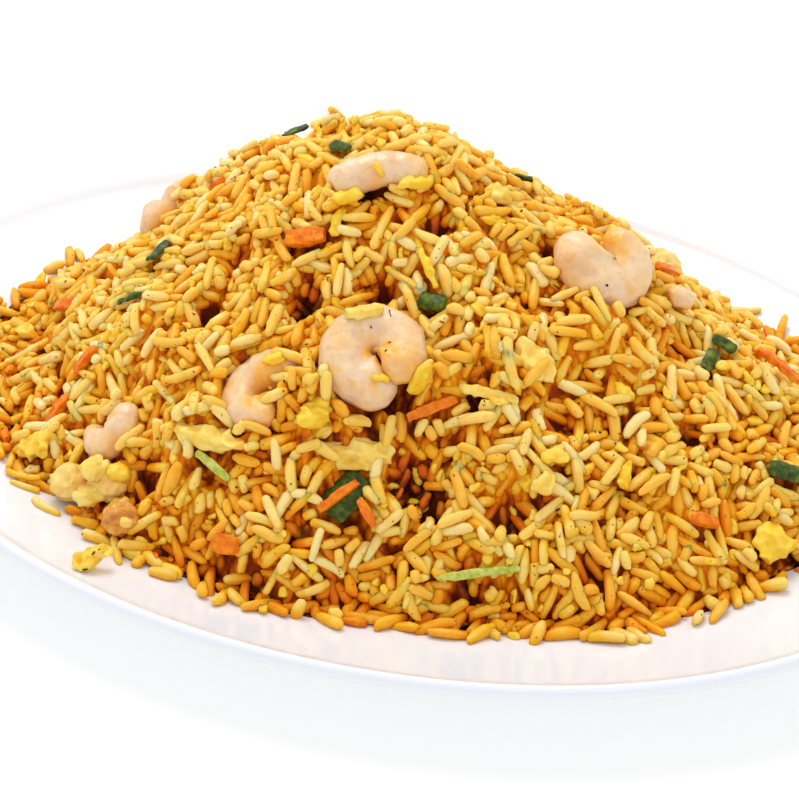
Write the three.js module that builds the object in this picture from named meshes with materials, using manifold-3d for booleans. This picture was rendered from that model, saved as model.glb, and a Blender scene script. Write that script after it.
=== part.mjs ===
// Shrimp fried rice heaped on a white oval platter. Millimetres, +Z up.
// The origin is on the table, under the middle of the platter, and +X runs along its long axis.

import * as THREE from 'three';
import { mergeVertices } from 'three/addons/utils/BufferGeometryUtils.js';
import Module from 'manifold-3d';

const wasm = await Module();
wasm.setup();

// ---- Driving dimensions ----

// The platter: an ellipse whose wall rises over a band of the same width all round.
const PLATTER_HALF_LENGTH = 142;
const PLATTER_HALF_WIDTH = 101.4;
const PLATTER_HEIGHT = 18;
const PLATTER_WALL = 3.6;
const WELL_HEIGHT = 5;
const SLOPE_WIDTH = 46;
const SLOPE_POWER = 1.6;
const LIP_WIDTH = 3;
const LIP_ROUNDING = 0.6;
const FOOT_INSET = 52;
const FOOT_WIDTH = 5;
const FOOT_BATTER = 1.2;
const PLATTER_SEGMENTS = 48;

// The heap of rice: its foot is an ellipse, uneven by the shares below.
const HEAP_HALF_LENGTH = 107;
const HEAP_HALF_WIDTH = 77;
const HEAP_PEAK = new THREE.Vector3(-19, 24, 78);
const HEAP_PEAK_ROUNDING = 0.15;
const HEAP_UNDERSIDE_SHARE = 0.6;
const HEAP_RINGS = 26;
const HEAP_AXIS_STEP = 0.01;
const UNDERSIDE_POINTS_PER_CORNER = 6;

// How far the foot reaches, as a share of its ellipse, at even steps from +X anticlockwise.
const HEAP_REACH = [1.03, 1.14, 1.10, 1.04, 1.02, 1.05, 1.10, 1.01, 1.02, 1.01, 0.95, 0.98];

// How each flank falls from the peak, at even steps: under 1 it bulges, over 1 it sags.
const HEAP_FALL = [
  0.90, 1.02, 0.85, 0.92, 0.92, 0.93, 0.85, 0.62, 1.12, 1.15, 0.93, 0.87, 0.85, 0.83, 0.84, 0.85,
];

// Mounds and dips where spoonfuls fell: place, radius and rise.
const HEAP_MOUNDS = [
  { x: -38, y: 20, radius: 8, rise: 2.5 },
  { x: -66, y: 27, radius: 11, rise: 5 },
  { x: -3, y: 33, radius: 10, rise: 4 },
  { x: 42, y: 42, radius: 15, rise: 4.5 },
  { x: -27, y: 24, radius: 8, rise: -2.5 },
  { x: -85, y: 12, radius: 12, rise: -3.5 },
];

// Grains lie on the heap as ridges of a cooked long grain's size.
const GRAIN_HALF_LENGTH = 5;
const GRAIN_HALF_WIDTH = 2.1;
const GRAIN_RISE = 2.8;
const GRAIN_RIDGES = 800;
const GRAIN_LOWEST = 0.985;
const RELIEF_SEED = 11;
const RING_JITTER = 0.3;

// Dark gaps between the grains: bearing, share of the way down, radius and depth.
const HOLLOWS = [
  [259, 0.44, 5, 4],
  [283, 0.42, 6, 4],
  [314, 0.77, 6, 5],
  [300, 0.57, 4, 3],
  [296, 0.27, 5, 3],
  [273, 0.79, 5, 4],
  [343, 0.36, 4, 3],
  [245, 0.91, 4, 3],
  [120, 0.50, 5, 4],
  [70, 0.65, 5, 3],
  [165, 0.60, 5, 4],
];

// Touching pieces keep this much air between them, and pockets reach this far out of the heap.
const CLEARANCE = 0.4;
const SHRIMP_CLEARANCE = 1;
const SEAT_GAP = 0.6;
const POCKET_RISE = 6;

// Lumps longer than this have four times the faces. Shreds and leaves narrow towards their ends.
const LUMP_FINE_LENGTH = 9.5;
const SHRED_TAPER = 0.3;
const LEAF_TAPER = 0.12;

// A shrimp's section is a little flat. Its ends are blunt: over a share of its length the width
// falls to that of the end, which a low cap closes.
const SHRIMP_SIDES = 7;
const SHRIMP_STEPS = 9;
const SHRIMP_FLATNESS = 0.86;
const SHRIMP_BLUNT_SHARE = 0.12;
const SHRIMP_END_WIDTH = 0.74;
const SHRIMP_CAP = 1.2;

// ---- Colours ----

const COLOURS = {
  glaze: 0xf3f2ee,
  rice: 0xe6b75a,
  shrimp: 0xf2cfae,
  chicken: 0xecc884,
  egg: 0xf7c832,
  carrot: 0xe8731c,
  scallion: 0x2f6a2a,
  paleScallion: 0x9fb648,
};

// ---- Toppings ----
// Each lies on the heap at a bearing round its foot, in degrees, and a share of the way down
// from the peak. turn is its long axis, in degrees from straight downhill, and lift is how far
// its middle stands out of the heap.

const SHRIMPS = [
  { name: 'shrimp_front', bearing: 283, down: 0.557, turn: 0, lift: 1.8,
    size: 27.2, thick: 12.6, tail: 11, start: 27, sweep: -338, curl: 0.08, tilt: 0 },
  { name: 'shrimp_left', bearing: 260.6, down: 0.648, turn: 0, lift: 1.2,
    size: 24.6, thick: 11.4, tail: 9, start: 132, sweep: 276, curl: 0.08, tilt: 8 },
  { name: 'shrimp_peak', bearing: 291, down: 0.315, turn: 0, lift: -2.2,
    size: 50, thick: 9.6, tail: 9, start: 217, sweep: -66, curl: 0.02, tilt: -6 },
  { name: 'shrimp_right', bearing: 11, down: 0.472, turn: 0, lift: 2.6,
    size: 28.2, thick: 13.6, tail: 8.4, start: 190, sweep: 306, curl: 0.28, tilt: 0 },
  { name: 'shrimp_low_left', bearing: 232.6, down: 0.846, turn: 0, lift: -0.3,
    size: 19, thick: 9.2, tail: 7.6, start: 168, sweep: -228, curl: 0.1, tilt: 12 },
  { name: 'shrimp_back', bearing: 96, down: 0.5, turn: 60, lift: 1.4,
    size: 24.6, thick: 11, tail: 8.8, start: 30, sweep: 285, curl: 0.1, tilt: 0 },
  { name: 'shrimp_back_left', bearing: 158, down: 0.66, turn: 120, lift: 0.8,
    size: 23.4, thick: 10, tail: 8, start: 0, sweep: -220, curl: 0.1, tilt: 8 },
];

// Lumps of chicken and egg: length, width and thickness, and how rough they are.
const LUMPS = [
  { name: 'shrimp_scrap', kind: 'shrimp', bearing: 22.5, down: 0.6, turn: 46, lift: 1,
    size: [10, 6, 5], rough: 0.08 },
  { name: 'chicken_edge', kind: 'chicken', bearing: 232.5, down: 0.965, turn: 121, lift: 0.8,
    size: [10.5, 9.5, 8], rough: 0.1 },
  { name: 'chicken_pale', kind: 'chicken', bearing: 239.5, down: 0.915, turn: 122, lift: 1,
    size: [12, 9.5, 8], rough: 0.14 },
  { name: 'chicken_brown', kind: 'chicken', bearing: 246, down: 0.955, turn: 113, lift: 0.8,
    size: [10, 8, 7], rough: 0.12 },
  { name: 'chicken_back', kind: 'chicken', bearing: 60, down: 0.8, turn: 40, lift: 1,
    size: [12, 9, 7], rough: 0.14 },
  { name: 'egg_strip', kind: 'egg', bearing: 253.6, down: 0.778, turn: 92, lift: 1.4,
    size: [22, 6.4, 4.6], rough: 0.08 },
  { name: 'egg_flat', kind: 'egg', bearing: 279.5, down: 0.72, turn: 89, lift: 0.2,
    size: [19, 7.5, 4], rough: 0.1 },
  { name: 'egg_chunk', kind: 'egg', bearing: 323, down: 0.553, turn: 14, lift: 1.2,
    size: [13, 8.4, 6.5], rough: 0.12 },
  { name: 'egg_high', kind: 'egg', bearing: 11, down: 0.25, turn: 19, lift: 0.8,
    size: [9, 6.5, 5], rough: 0.12 },
  { name: 'egg_hollow', kind: 'egg', bearing: 312, down: 0.765, turn: 102, lift: 0.4,
    size: [9, 5.6, 5], rough: 0.12 },
  { name: 'egg_centre', kind: 'egg', bearing: 271.5, down: 0.677, turn: 86, lift: 0.6,
    size: [10.5, 5.6, 4.4], rough: 0.14 },
  { name: 'egg_orange', kind: 'egg', bearing: 316, down: 0.72, turn: 71, lift: 0.4,
    size: [7.8, 5, 4], rough: 0.12 },
  { name: 'egg_right', kind: 'egg', bearing: 342.5, down: 0.643, turn: 12, lift: 0.6,
    size: [7.5, 4.4, 3.6], rough: 0.12 },
  { name: 'egg_low_right', kind: 'egg', bearing: 329.5, down: 0.773, turn: 131, lift: 0.4,
    size: [9, 3.6, 3.2], rough: 0.12 },
  { name: 'egg_rim', kind: 'egg', bearing: 348, down: 0.955, turn: 58, lift: 1.2,
    size: [11, 10, 5], rough: 0.16 },
  { name: 'egg_left', kind: 'egg', bearing: 224, down: 0.94, turn: 151, lift: 0.8,
    size: [11, 7.4, 5], rough: 0.14 },
  { name: 'egg_far_left', kind: 'egg', bearing: 187.5, down: 0.9, turn: 137, lift: 0.6,
    size: [6.8, 4.4, 4], rough: 0.12 },
  { name: 'egg_back', kind: 'egg', bearing: 120, down: 0.72, turn: 30, lift: 0.8,
    size: [13, 7, 5], rough: 0.14 },
  { name: 'egg_back_high', kind: 'egg', bearing: 75, down: 0.3, turn: 100, lift: 0.6,
    size: [9, 6, 4.4], rough: 0.12 },
];

// Shreds and slivers: length, width and thickness, and how far their middle bows out.
const SHREDS = [
  { name: 'carrot_right', kind: 'carrot', bearing: 33, down: 0.6, turn: 50, lift: 1.8,
    size: [12.5, 2.6, 1.6], bow: 0.2 },
  { name: 'carrot_far_right', kind: 'carrot', bearing: 21.5, down: 0.79, turn: -8, lift: 0.9,
    size: [12.5, 2.6, 1.8], bow: 0.6 },
  { name: 'carrot_centre', kind: 'carrot', bearing: 295, down: 0.63, turn: 104, lift: 0.9,
    size: [12, 2.6, 1.8], bow: 0.4 },
  { name: 'carrot_hollow', kind: 'carrot', bearing: 277, down: 0.803, turn: 133, lift: 1.9,
    size: [11, 2.2, 1.7], bow: 0.5 },
  { name: 'carrot_hollow_low', kind: 'carrot', bearing: 281.6, down: 0.828, turn: 28, lift: 1.5,
    size: [7, 2.2, 1.7], bow: 0.3 },
  { name: 'carrot_high', kind: 'carrot', bearing: 254.5, down: 0.327, turn: 114, lift: 0.8,
    size: [9.6, 4.4, 2.4], bow: 0.3 },
  { name: 'carrot_left_high', kind: 'carrot', bearing: 187.5, down: 0.79, turn: 148, lift: 0.8,
    size: [6.9, 3, 2], bow: 0.3 },
  { name: 'carrot_left', kind: 'carrot', bearing: 221, down: 0.86, turn: -166, lift: 0.8,
    size: [8.4, 2.4, 1.8], bow: 0.3 },
  { name: 'carrot_left_low', kind: 'carrot', bearing: 217, down: 0.77, turn: 180, lift: 0.8,
    size: [8.4, 2.2, 1.8], bow: 0.3 },
  { name: 'carrot_low', kind: 'carrot', bearing: 262.5, down: 0.93, turn: 95, lift: 0.7,
    size: [6.4, 4.6, 2], bow: 0.2 },
  { name: 'carrot_low_right', kind: 'carrot', bearing: 338, down: 0.883, turn: 51, lift: 0.8,
    size: [6.8, 3, 1.8], bow: 0.3 },
  { name: 'carrot_back', kind: 'carrot', bearing: 108, down: 0.78, turn: 70, lift: 0.9,
    size: [12, 2.6, 1.8], bow: 0.5 },
  { name: 'carrot_back_left', kind: 'carrot', bearing: 170, down: 0.4, turn: 30, lift: 0.9,
    size: [10, 2.4, 1.8], bow: 0.4 },
  { name: 'egg_sliver', kind: 'egg', bearing: 308.5, down: 0.6, turn: 60, lift: 0.9,
    size: [13, 2.8, 1.5], bow: 0.6 },
  { name: 'egg_thread', kind: 'egg', bearing: 303.5, down: 0.365, turn: 6, lift: 0.8,
    size: [9.4, 2, 1.4], bow: 0.3 },
  { name: 'egg_curl', kind: 'egg', bearing: 294.5, down: 0.575, turn: 123, lift: 0.9,
    size: [6.4, 3.2, 1.8], bow: 0.5 },
  { name: 'egg_peak', kind: 'egg', bearing: 266.5, down: 0.275, turn: 180, lift: 0.8,
    size: [6.8, 3, 1.8], bow: 0.4 },
  { name: 'scallion_pale', kind: 'paleScallion', bearing: 256.5, down: 0.82, turn: 70, lift: 0.7,
    size: [10.4, 2.2, 1.2], bow: 0.5 },
  { name: 'scallion_pale_low', kind: 'paleScallion', bearing: 298, down: 0.92, turn: 87, lift: 0.9,
    size: [18, 2.2, 1.3], bow: 0.6 },
  { name: 'scallion_sliver', kind: 'scallion', bearing: 213, down: 0.64, turn: 143, lift: 0.7,
    size: [8.4, 2, 1.2], bow: 0.3 },
];

// Cut scallion leaves: thin sheets, curled across their width by the given angle.
const LEAVES = [
  { name: 'scallion_centre', bearing: 302, down: 0.427, turn: 53, lift: 1.1,
    size: [6.6, 5, 0.9], curl: 110 },
  { name: 'scallion_left', bearing: 200, down: 0.53, turn: -137, lift: 1.1,
    size: [7, 4.2, 0.9], curl: 100 },
  { name: 'scallion_peak', bearing: 235, down: 0.11, turn: 94, lift: 0.9,
    size: [6.4, 3, 0.8], curl: 80 },
  { name: 'scallion_ridge', bearing: 48, down: 0.33, turn: -40, lift: 1,
    size: [6.4, 3.4, 0.8], curl: 80 },
  { name: 'scallion_right_low', bearing: 10.5, down: 0.69, turn: 91, lift: 1,
    size: [7.4, 4, 0.9], curl: 110 },
  { name: 'scallion_right_high', bearing: 18, down: 0.69, turn: -1, lift: 1,
    size: [6, 3.8, 0.9], curl: 90 },
  { name: 'scallion_far_right', bearing: 359, down: 0.87, turn: 41, lift: 1,
    size: [9.4, 4.4, 0.9], curl: 70 },
  { name: 'scallion_hollow', bearing: 278, down: 0.795, turn: 142, lift: -0.4,
    size: [11.5, 7.6, 0.8], curl: 50 },
  { name: 'scallion_back', bearing: 140, down: 0.4, turn: 80, lift: 1,
    size: [7, 4.2, 0.9], curl: 90 },
  { name: 'scallion_back_low', bearing: 82, down: 0.84, turn: 20, lift: 1,
    size: [8, 4, 0.9], curl: 80 },
];

// One crumb of egg and rice fell on the platter's slope.
// It leans on the slope with its outer end, by which its middle is lifted.
const CRUMB = {
  name: 'crumb', x: -43, y: -84.4, turn: 55, lift: 0.45, size: [9.8, 5.2, 4.4], rough: 0.2, seed: 99,
};

// ---- Small helpers ----

function seededRandom(seed) {
  let state = seed >>> 0;
  return () => {
    state = (state + 0x6d2b79f5) >>> 0;
    let value = Math.imul(state ^ (state >>> 15), state | 1);
    value ^= value + Math.imul(value ^ (value >>> 7), value | 61);
    return ((value ^ (value >>> 14)) >>> 0) / 4294967296;
  };
}

// A smooth value between even steps round a full turn.
function roundValue(values, angle) {
  const turn = angle / (2 * Math.PI);
  const place = (turn - Math.floor(turn)) * values.length;
  const step = Math.floor(place) % values.length;
  const blend = 0.5 - 0.5 * Math.cos(Math.PI * (place - Math.floor(place)));
  return values[step] * (1 - blend) + values[(step + 1) % values.length] * blend;
}

function geometryFrom(points, triangles) {
  const geometry = new THREE.BufferGeometry();
  geometry.setAttribute('position', new THREE.Float32BufferAttribute(points.flat(), 3));
  geometry.setIndex(triangles.flat());
  return geometry;
}

function solidFrom(geometry, matrix) {
  const placed = geometry.clone().applyMatrix4(matrix);
  return new wasm.Manifold(new wasm.Mesh({
    numProp: 3,
    vertProperties: new Float32Array(placed.getAttribute('position').array),
    triVerts: new Uint32Array(placed.getIndex().array),
  }));
}

function geometryOfSolid(solid) {
  const mesh = solid.getMesh();
  const geometry = new THREE.BufferGeometry();
  geometry.setAttribute('position', new THREE.BufferAttribute(new Float32Array(mesh.vertProperties), 3));
  geometry.setIndex(new THREE.BufferAttribute(new Uint32Array(mesh.triVerts), 1));
  return geometry;
}

function largestPiece(solid) {
  return solid.decompose().reduce((best, piece) => (piece.volume() > best.volume() ? piece : best));
}

// ---- Platter ----

// How far inside the rim's ellipse a point lies.
function rimInset(x, y) {
  let near = 0;
  let far = PLATTER_HALF_WIDTH - 1;
  for (let step = 0; step < 40; step += 1) {
    const middle = (near + far) / 2;
    const inside = Math.hypot(x / (PLATTER_HALF_LENGTH - middle), y / (PLATTER_HALF_WIDTH - middle)) < 1;
    near = inside ? middle : near;
    far = inside ? far : middle;
  }
  return near;
}

function insideHeight(inset) {
  const climb = THREE.MathUtils.clamp((SLOPE_WIDTH - inset) / SLOPE_WIDTH, 0, 1);
  return WELL_HEIGHT + (PLATTER_HEIGHT - WELL_HEIGHT) * climb ** SLOPE_POWER;
}

function platterHeight(x, y) {
  return insideHeight(rimInset(x, y));
}

// Inset and height of each ring, from the middle of the underside round the lip to the well.
function platterProfile() {
  const rings = [
    [FOOT_INSET + FOOT_WIDTH + FOOT_BATTER, WELL_HEIGHT - PLATTER_WALL],
    [FOOT_INSET + FOOT_WIDTH, 0],
    [FOOT_INSET, 0],
    [FOOT_INSET - FOOT_BATTER, WELL_HEIGHT - PLATTER_WALL],
  ];
  for (const inset of [32, 16, 4]) {
    rings.push([inset, insideHeight(inset) - PLATTER_WALL]);
  }
  rings.push([LIP_ROUNDING, PLATTER_HEIGHT - PLATTER_WALL + LIP_ROUNDING]);
  rings.push([0, PLATTER_HEIGHT - PLATTER_WALL / 2]);
  rings.push([LIP_ROUNDING, PLATTER_HEIGHT - LIP_ROUNDING]);
  rings.push([2 * LIP_ROUNDING, PLATTER_HEIGHT]);
  rings.push([LIP_WIDTH, insideHeight(LIP_WIDTH)]);
  for (const inset of [9, 17, 25, 35, SLOPE_WIDTH]) {
    rings.push([inset, insideHeight(inset)]);
  }
  return rings;
}

function platterGeometry() {
  const profile = platterProfile();
  const points = [[0, 0, WELL_HEIGHT - PLATTER_WALL]];
  for (const [inset, height] of profile) {
    for (let step = 0; step < PLATTER_SEGMENTS; step += 1) {
      const angle = (2 * Math.PI * step) / PLATTER_SEGMENTS;
      const x = (PLATTER_HALF_LENGTH - inset) * Math.cos(angle);
      const y = (PLATTER_HALF_WIDTH - inset) * Math.sin(angle);
      points.push([x, y, height]);
    }
  }
  points.push([0, 0, WELL_HEIGHT]);

  const at = (ring, step) => 1 + ring * PLATTER_SEGMENTS + (step % PLATTER_SEGMENTS);
  const last = profile.length - 1;
  const triangles = [];
  for (let step = 0; step < PLATTER_SEGMENTS; step += 1) {
    triangles.push([0, at(0, step + 1), at(0, step)]);
    for (let ring = 0; ring < last; ring += 1) {
      triangles.push([at(ring, step), at(ring, step + 1), at(ring + 1, step + 1)]);
      triangles.push([at(ring, step), at(ring + 1, step + 1), at(ring + 1, step)]);
    }
    triangles.push([at(last, step), at(last, step + 1), points.length - 1]);
  }
  return geometryFrom(points, triangles);
}

// ---- Heap of rice ----

// Slow swells and dips that make the flanks uneven.
function heapSwell(x, y) {
  return 1.5 * Math.sin(x / 8.1 + 1.3) * Math.sin(y / 7.3 + 0.4)
    + 1.3 * Math.sin((x + y) / 11.7 + 2)
    + 0.9 * Math.sin((x - 1.4 * y) / 6.3);
}

function moundRise(x, y) {
  return HEAP_MOUNDS.reduce((sum, mound) => (
    sum + mound.rise * Math.exp(-(((x - mound.x) ** 2 + (y - mound.y) ** 2) / mound.radius ** 2))), 0);
}

function footPoint(angle, share) {
  const waves = 0.018 * Math.sin(7 * angle + 1) + 0.014 * Math.sin(16 * angle + 2);
  const reach = (roundValue(HEAP_REACH, angle) + waves) * share;
  return [HEAP_HALF_LENGTH * Math.cos(angle) * reach, HEAP_HALF_WIDTH * Math.sin(angle) * reach];
}

// A point of the heap's smooth surface: down is 0 at the peak and 1 at the foot.
function heapPoint(angle, down) {
  const [footX, footY] = footPoint(angle, 1);
  const footZ = platterHeight(footX, footY) + SEAT_GAP;
  const fall = roundValue(HEAP_FALL, Math.atan2(footY - HEAP_PEAK.y, footX - HEAP_PEAK.x));
  const rounded = (Math.hypot(down, HEAP_PEAK_ROUNDING) - HEAP_PEAK_ROUNDING)
    / (Math.hypot(1, HEAP_PEAK_ROUNDING) - HEAP_PEAK_ROUNDING);
  const x = HEAP_PEAK.x + (footX - HEAP_PEAK.x) * down;
  const y = HEAP_PEAK.y + (footY - HEAP_PEAK.y) * down;
  const cone = footZ + (HEAP_PEAK.z - footZ) * Math.max(0, 1 - rounded) ** fall;
  const swell = heapSwell(x, y) * Math.sqrt(Math.max(0, Math.sin(Math.PI * down)));
  return new THREE.Vector3(x, y, cone + swell + moundRise(x, y));
}

// The heap's own axes at a place: downhill, across and straight out.
function heapAxes(angle, down) {
  const step = HEAP_AXIS_STEP;
  const lower = THREE.MathUtils.clamp(down + step, 2 * step, 1);
  const upper = lower - 2 * step;
  const downhill = heapPoint(angle, lower).sub(heapPoint(angle, upper)).normalize();
  const along = heapPoint(angle + step, lower).sub(heapPoint(angle - step, lower));
  const outward = downhill.clone().cross(along).normalize();
  return { downhill, across: outward.clone().cross(downhill), outward };
}

function scatterRidges() {
  const random = seededRandom(RELIEF_SEED);
  const ridges = [];
  for (let count = 0; count < GRAIN_RIDGES; count += 1) {
    const angle = random() * 2 * Math.PI;
    const down = Math.sqrt(random()) * GRAIN_LOWEST;
    const { downhill, across } = heapAxes(angle, down);
    const turn = random() * Math.PI;
    ridges.push({
      middle: heapPoint(angle, down),
      along: downhill.clone().multiplyScalar(Math.cos(turn)).addScaledVector(across, Math.sin(turn)),
      rise: GRAIN_RISE * (0.5 + 0.5 * random()),
    });
  }
  return ridges;
}

// How far the grains and hollows push the surface out or in at a point.
function reliefAt(point, ridges, hollows) {
  let relief = 0;
  const offset = new THREE.Vector3();
  for (const ridge of ridges) {
    const along = offset.copy(point).sub(ridge.middle).dot(ridge.along) / GRAIN_HALF_LENGTH;
    const sideways = Math.sqrt(Math.max(0, offset.lengthSq() - (along * GRAIN_HALF_LENGTH) ** 2));
    const away = along ** 2 + (sideways / GRAIN_HALF_WIDTH) ** 2;
    relief = away < 1 ? Math.max(relief, ridge.rise * Math.sqrt(1 - away)) : relief;
  }
  for (const hollow of hollows) {
    const away = point.distanceTo(hollow.middle) / hollow.radius;
    relief -= away < 1 ? hollow.depth * (1 - away * away) : 0;
  }
  return relief;
}

function heapTopPoints() {
  const ridges = scatterRidges();
  const hollows = HOLLOWS.map(([bearing, down, radius, depth]) => (
    { middle: heapPoint(THREE.MathUtils.degToRad(bearing), down), radius, depth }));
  const random = seededRandom(RELIEF_SEED + 1);
  const points = [heapPoint(0, 0).toArray()];
  for (let ring = 1; ring <= HEAP_RINGS; ring += 1) {
    const count = 6 * ring;
    const free = ring < HEAP_RINGS;
    for (let step = 0; step < count; step += 1) {
      const angle = (2 * Math.PI * (step + RING_JITTER * (random() - 0.5))) / count;
      const down = (ring + (free ? RING_JITTER * (random() - 0.5) : 0)) / HEAP_RINGS;
      const point = heapPoint(angle, down);
      if (free) {
        point.addScaledVector(heapAxes(angle, down).outward, reliefAt(point, ridges, hollows));
      }
      points.push(point.toArray());
    }
  }
  return points;
}

// Ring r holds 6r points, so that all the triangles are about the same size.
function heapTopTriangles() {
  const at = (ring, step) => (ring === 0 ? 0 : 1 + 3 * ring * (ring - 1) + (step % (6 * ring)));
  const triangles = [];
  for (let ring = 1; ring <= HEAP_RINGS; ring += 1) {
    for (let corner = 0; corner < 6; corner += 1) {
      for (let step = 0; step < ring; step += 1) {
        const outer = corner * ring + step;
        const inner = corner * (ring - 1) + step;
        triangles.push([at(ring, outer), at(ring, outer + 1), at(ring - 1, inner)]);
        if (step < ring - 1) {
          triangles.push([at(ring - 1, inner), at(ring, outer + 1), at(ring - 1, inner + 1)]);
        }
      }
    }
  }
  return triangles;
}

// The underside rests flat in the well and follows the slope out to the foot.
function addHeapUnderside(points, triangles) {
  const footCount = 6 * HEAP_RINGS;
  const footStart = points.length - footCount;
  const innerCount = 6 * UNDERSIDE_POINTS_PER_CORNER;
  const innerStart = points.length;
  for (let step = 0; step < innerCount; step += 1) {
    const [x, y] = footPoint((2 * Math.PI * step) / innerCount, HEAP_UNDERSIDE_SHARE);
    points.push([x, y, WELL_HEIGHT + SEAT_GAP]);
  }
  const middle = points.push([0, 0, WELL_HEIGHT + SEAT_GAP]) - 1;

  const nearestInner = (step) => innerStart + (Math.round((step * innerCount) / footCount) % innerCount);
  for (let step = 0; step < footCount; step += 1) {
    const next = footStart + ((step + 1) % footCount);
    const inner = nearestInner(step);
    triangles.push([footStart + step, inner, next]);
    if (nearestInner(step + 1) !== inner) {
      triangles.push([inner, nearestInner(step + 1), next]);
    }
  }
  for (let step = 0; step < innerCount; step += 1) {
    triangles.push([innerStart + step, middle, innerStart + ((step + 1) % innerCount)]);
  }
}

function heapGeometry() {
  const points = heapTopPoints();
  const triangles = heapTopTriangles();
  addHeapUnderside(points, triangles);
  return geometryFrom(points, triangles);
}

// ---- Shapes of the toppings ----
// Each lies flat in its own frame: +X along it, +Z out of the heap.

// A peeled shrimp: a body that tapers from head to tail, bent round a spiral that closes towards
// the tail. grow makes it bigger all round, and from and to take one stretch of it, for the pocket
// that it lies in.
function shrimpGeometry({ size, thick, tail, start, sweep, curl }, grow = 0, from = 0, to = 1) {
  const steps = Math.round(SHRIMP_STEPS * (to - from));
  const turning = Math.sign(sweep);
  const points = [];
  const triangles = [];
  const middleAt = (share) => {
    const angle = THREE.MathUtils.degToRad(start + sweep * share);
    const radius = ((size - thick) / 2) * (1 - curl * share * share);
    return [radius * Math.cos(angle), radius * Math.sin(angle), angle];
  };
  for (let step = 0; step <= steps; step += 1) {
    const share = THREE.MathUtils.lerp(from, to, step / steps);
    const [x, y, angle] = middleAt(share);
    const fromEnd = Math.min(1, Math.min(share, 1 - share) / SHRIMP_BLUNT_SHARE);
    const blunt = SHRIMP_END_WIDTH + (1 - SHRIMP_END_WIDTH) * Math.sqrt(1 - (1 - fromEnd) ** 2);
    const half = (THREE.MathUtils.lerp(thick, tail, share) / 2) * blunt + grow;
    for (let side = 0; side < SHRIMP_SIDES; side += 1) {
      const round = (2 * Math.PI * side) / SHRIMP_SIDES;
      const out = half * Math.cos(round);
      const high = SHRIMP_FLATNESS * half * Math.sin(round);
      points.push([x + out * Math.cos(angle), y + out * Math.sin(angle), high]);
    }
  }
  for (const [share, way] of [[from, -turning], [to, turning]]) {
    const [x, y, angle] = middleAt(share);
    const push = way * (SHRIMP_CAP + grow);
    points.push([x - push * Math.sin(angle), y + push * Math.cos(angle), 0]);
  }
  const at = (step, side) => step * SHRIMP_SIDES + (side % SHRIMP_SIDES);
  const head = points.length - 2;
  for (let side = 0; side < SHRIMP_SIDES; side += 1) {
    for (let step = 0; step < steps; step += 1) {
      triangles.push([at(step, side), at(step + 1, side), at(step + 1, side + 1)]);
      triangles.push([at(step, side), at(step + 1, side + 1), at(step, side + 1)]);
    }
    triangles.push([head, at(0, side), at(0, side + 1)]);
    triangles.push([head + 1, at(steps, side + 1), at(steps, side)]);
  }
  return geometryFrom(points, turning > 0 ? triangles : triangles.map(([a, b, c]) => [a, c, b]));
}

// A rough lump: a ball stretched to its size, with each corner pushed in or out.
function lumpGeometry({ size, rough }, seed) {
  const random = seededRandom(seed);
  const ball = new THREE.IcosahedronGeometry(1, size[0] > LUMP_FINE_LENGTH ? 1 : 0).getAttribute('position');
  const corners = new Map();
  const points = [];
  const triangles = [];
  const corner = new THREE.Vector3();
  for (let place = 0; place < ball.count; place += 1) {
    corner.fromBufferAttribute(ball, place);
    const key = corner.toArray().map((value) => value.toFixed(3)).join();
    if (!corners.has(key)) {
      const push = 1 + rough * (2 * random() - 1);
      const [halfX, halfY, halfZ] = size.map((value) => (value / 2) * push);
      corners.set(key, points.push([corner.x * halfX, corner.y * halfY, corner.z * halfZ]) - 1);
    }
    if (place % 3 === 0) {
      triangles.push([]);
    }
    triangles[triangles.length - 1].push(corners.get(key));
  }
  return geometryFrom(points, triangles);
}

// A closed sheet: a grid of points on each side, joined round the rim. Both sides split alike.
function sheetGeometry(lengthSteps, widthSteps, pointAt) {
  const points = [];
  for (const side of [-1, 1]) {
    for (let column = 0; column <= lengthSteps; column += 1) {
      for (let row = 0; row <= widthSteps; row += 1) {
        points.push(pointAt((2 * column) / lengthSteps - 1, (2 * row) / widthSteps - 1, side));
      }
    }
  }
  const half = points.length / 2;
  const at = (column, row) => column * (widthSteps + 1) + row;
  const triangles = [];
  for (let column = 0; column < lengthSteps; column += 1) {
    for (let row = 0; row < widthSteps; row += 1) {
      const [a, b] = [at(column, row), at(column + 1, row)];
      const [c, d] = [at(column + 1, row + 1), at(column, row + 1)];
      triangles.push([half + a, half + b, half + c], [half + a, half + c, half + d]);
      triangles.push([a, c, b], [a, d, c]);
    }
  }
  const rim = [];
  for (let column = 0; column < lengthSteps; column += 1) {
    rim.push([at(column, 0), at(column + 1, 0)], [at(column + 1, widthSteps), at(column, widthSteps)]);
  }
  for (let row = 0; row < widthSteps; row += 1) {
    rim.push([at(lengthSteps, row), at(lengthSteps, row + 1)], [at(0, row + 1), at(0, row)]);
  }
  for (const [from, to] of rim) {
    triangles.push([from, to, half + to], [from, half + to, half + from]);
  }
  return geometryFrom(points, triangles);
}

// A shred: a narrow strip, a little thinner at its ends, whose middle bows out.
function shredGeometry({ size: [length, width, thick], bow }) {
  return sheetGeometry(4, 1, (along, across, side) => {
    const taper = 1 - SHRED_TAPER * along * along;
    return [
      (along * length) / 2,
      (across * width * taper) / 2,
      (side * thick * taper) / 2 + bow * (1 - along * along),
    ];
  });
}

// A cut leaf: a thin sheet curled across its width.
function leafGeometry({ size: [length, width, thick], curl }) {
  const half = THREE.MathUtils.degToRad(curl) / 2;
  const radius = width / (2 * half);
  return sheetGeometry(2, 3, (along, across, side) => {
    const angle = across * half;
    const out = radius + (side * thick) / 2;
    return [
      (along * length * (1 - LEAF_TAPER * across * across)) / 2,
      out * Math.sin(angle),
      out * Math.cos(angle) - radius,
    ];
  });
}

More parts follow.
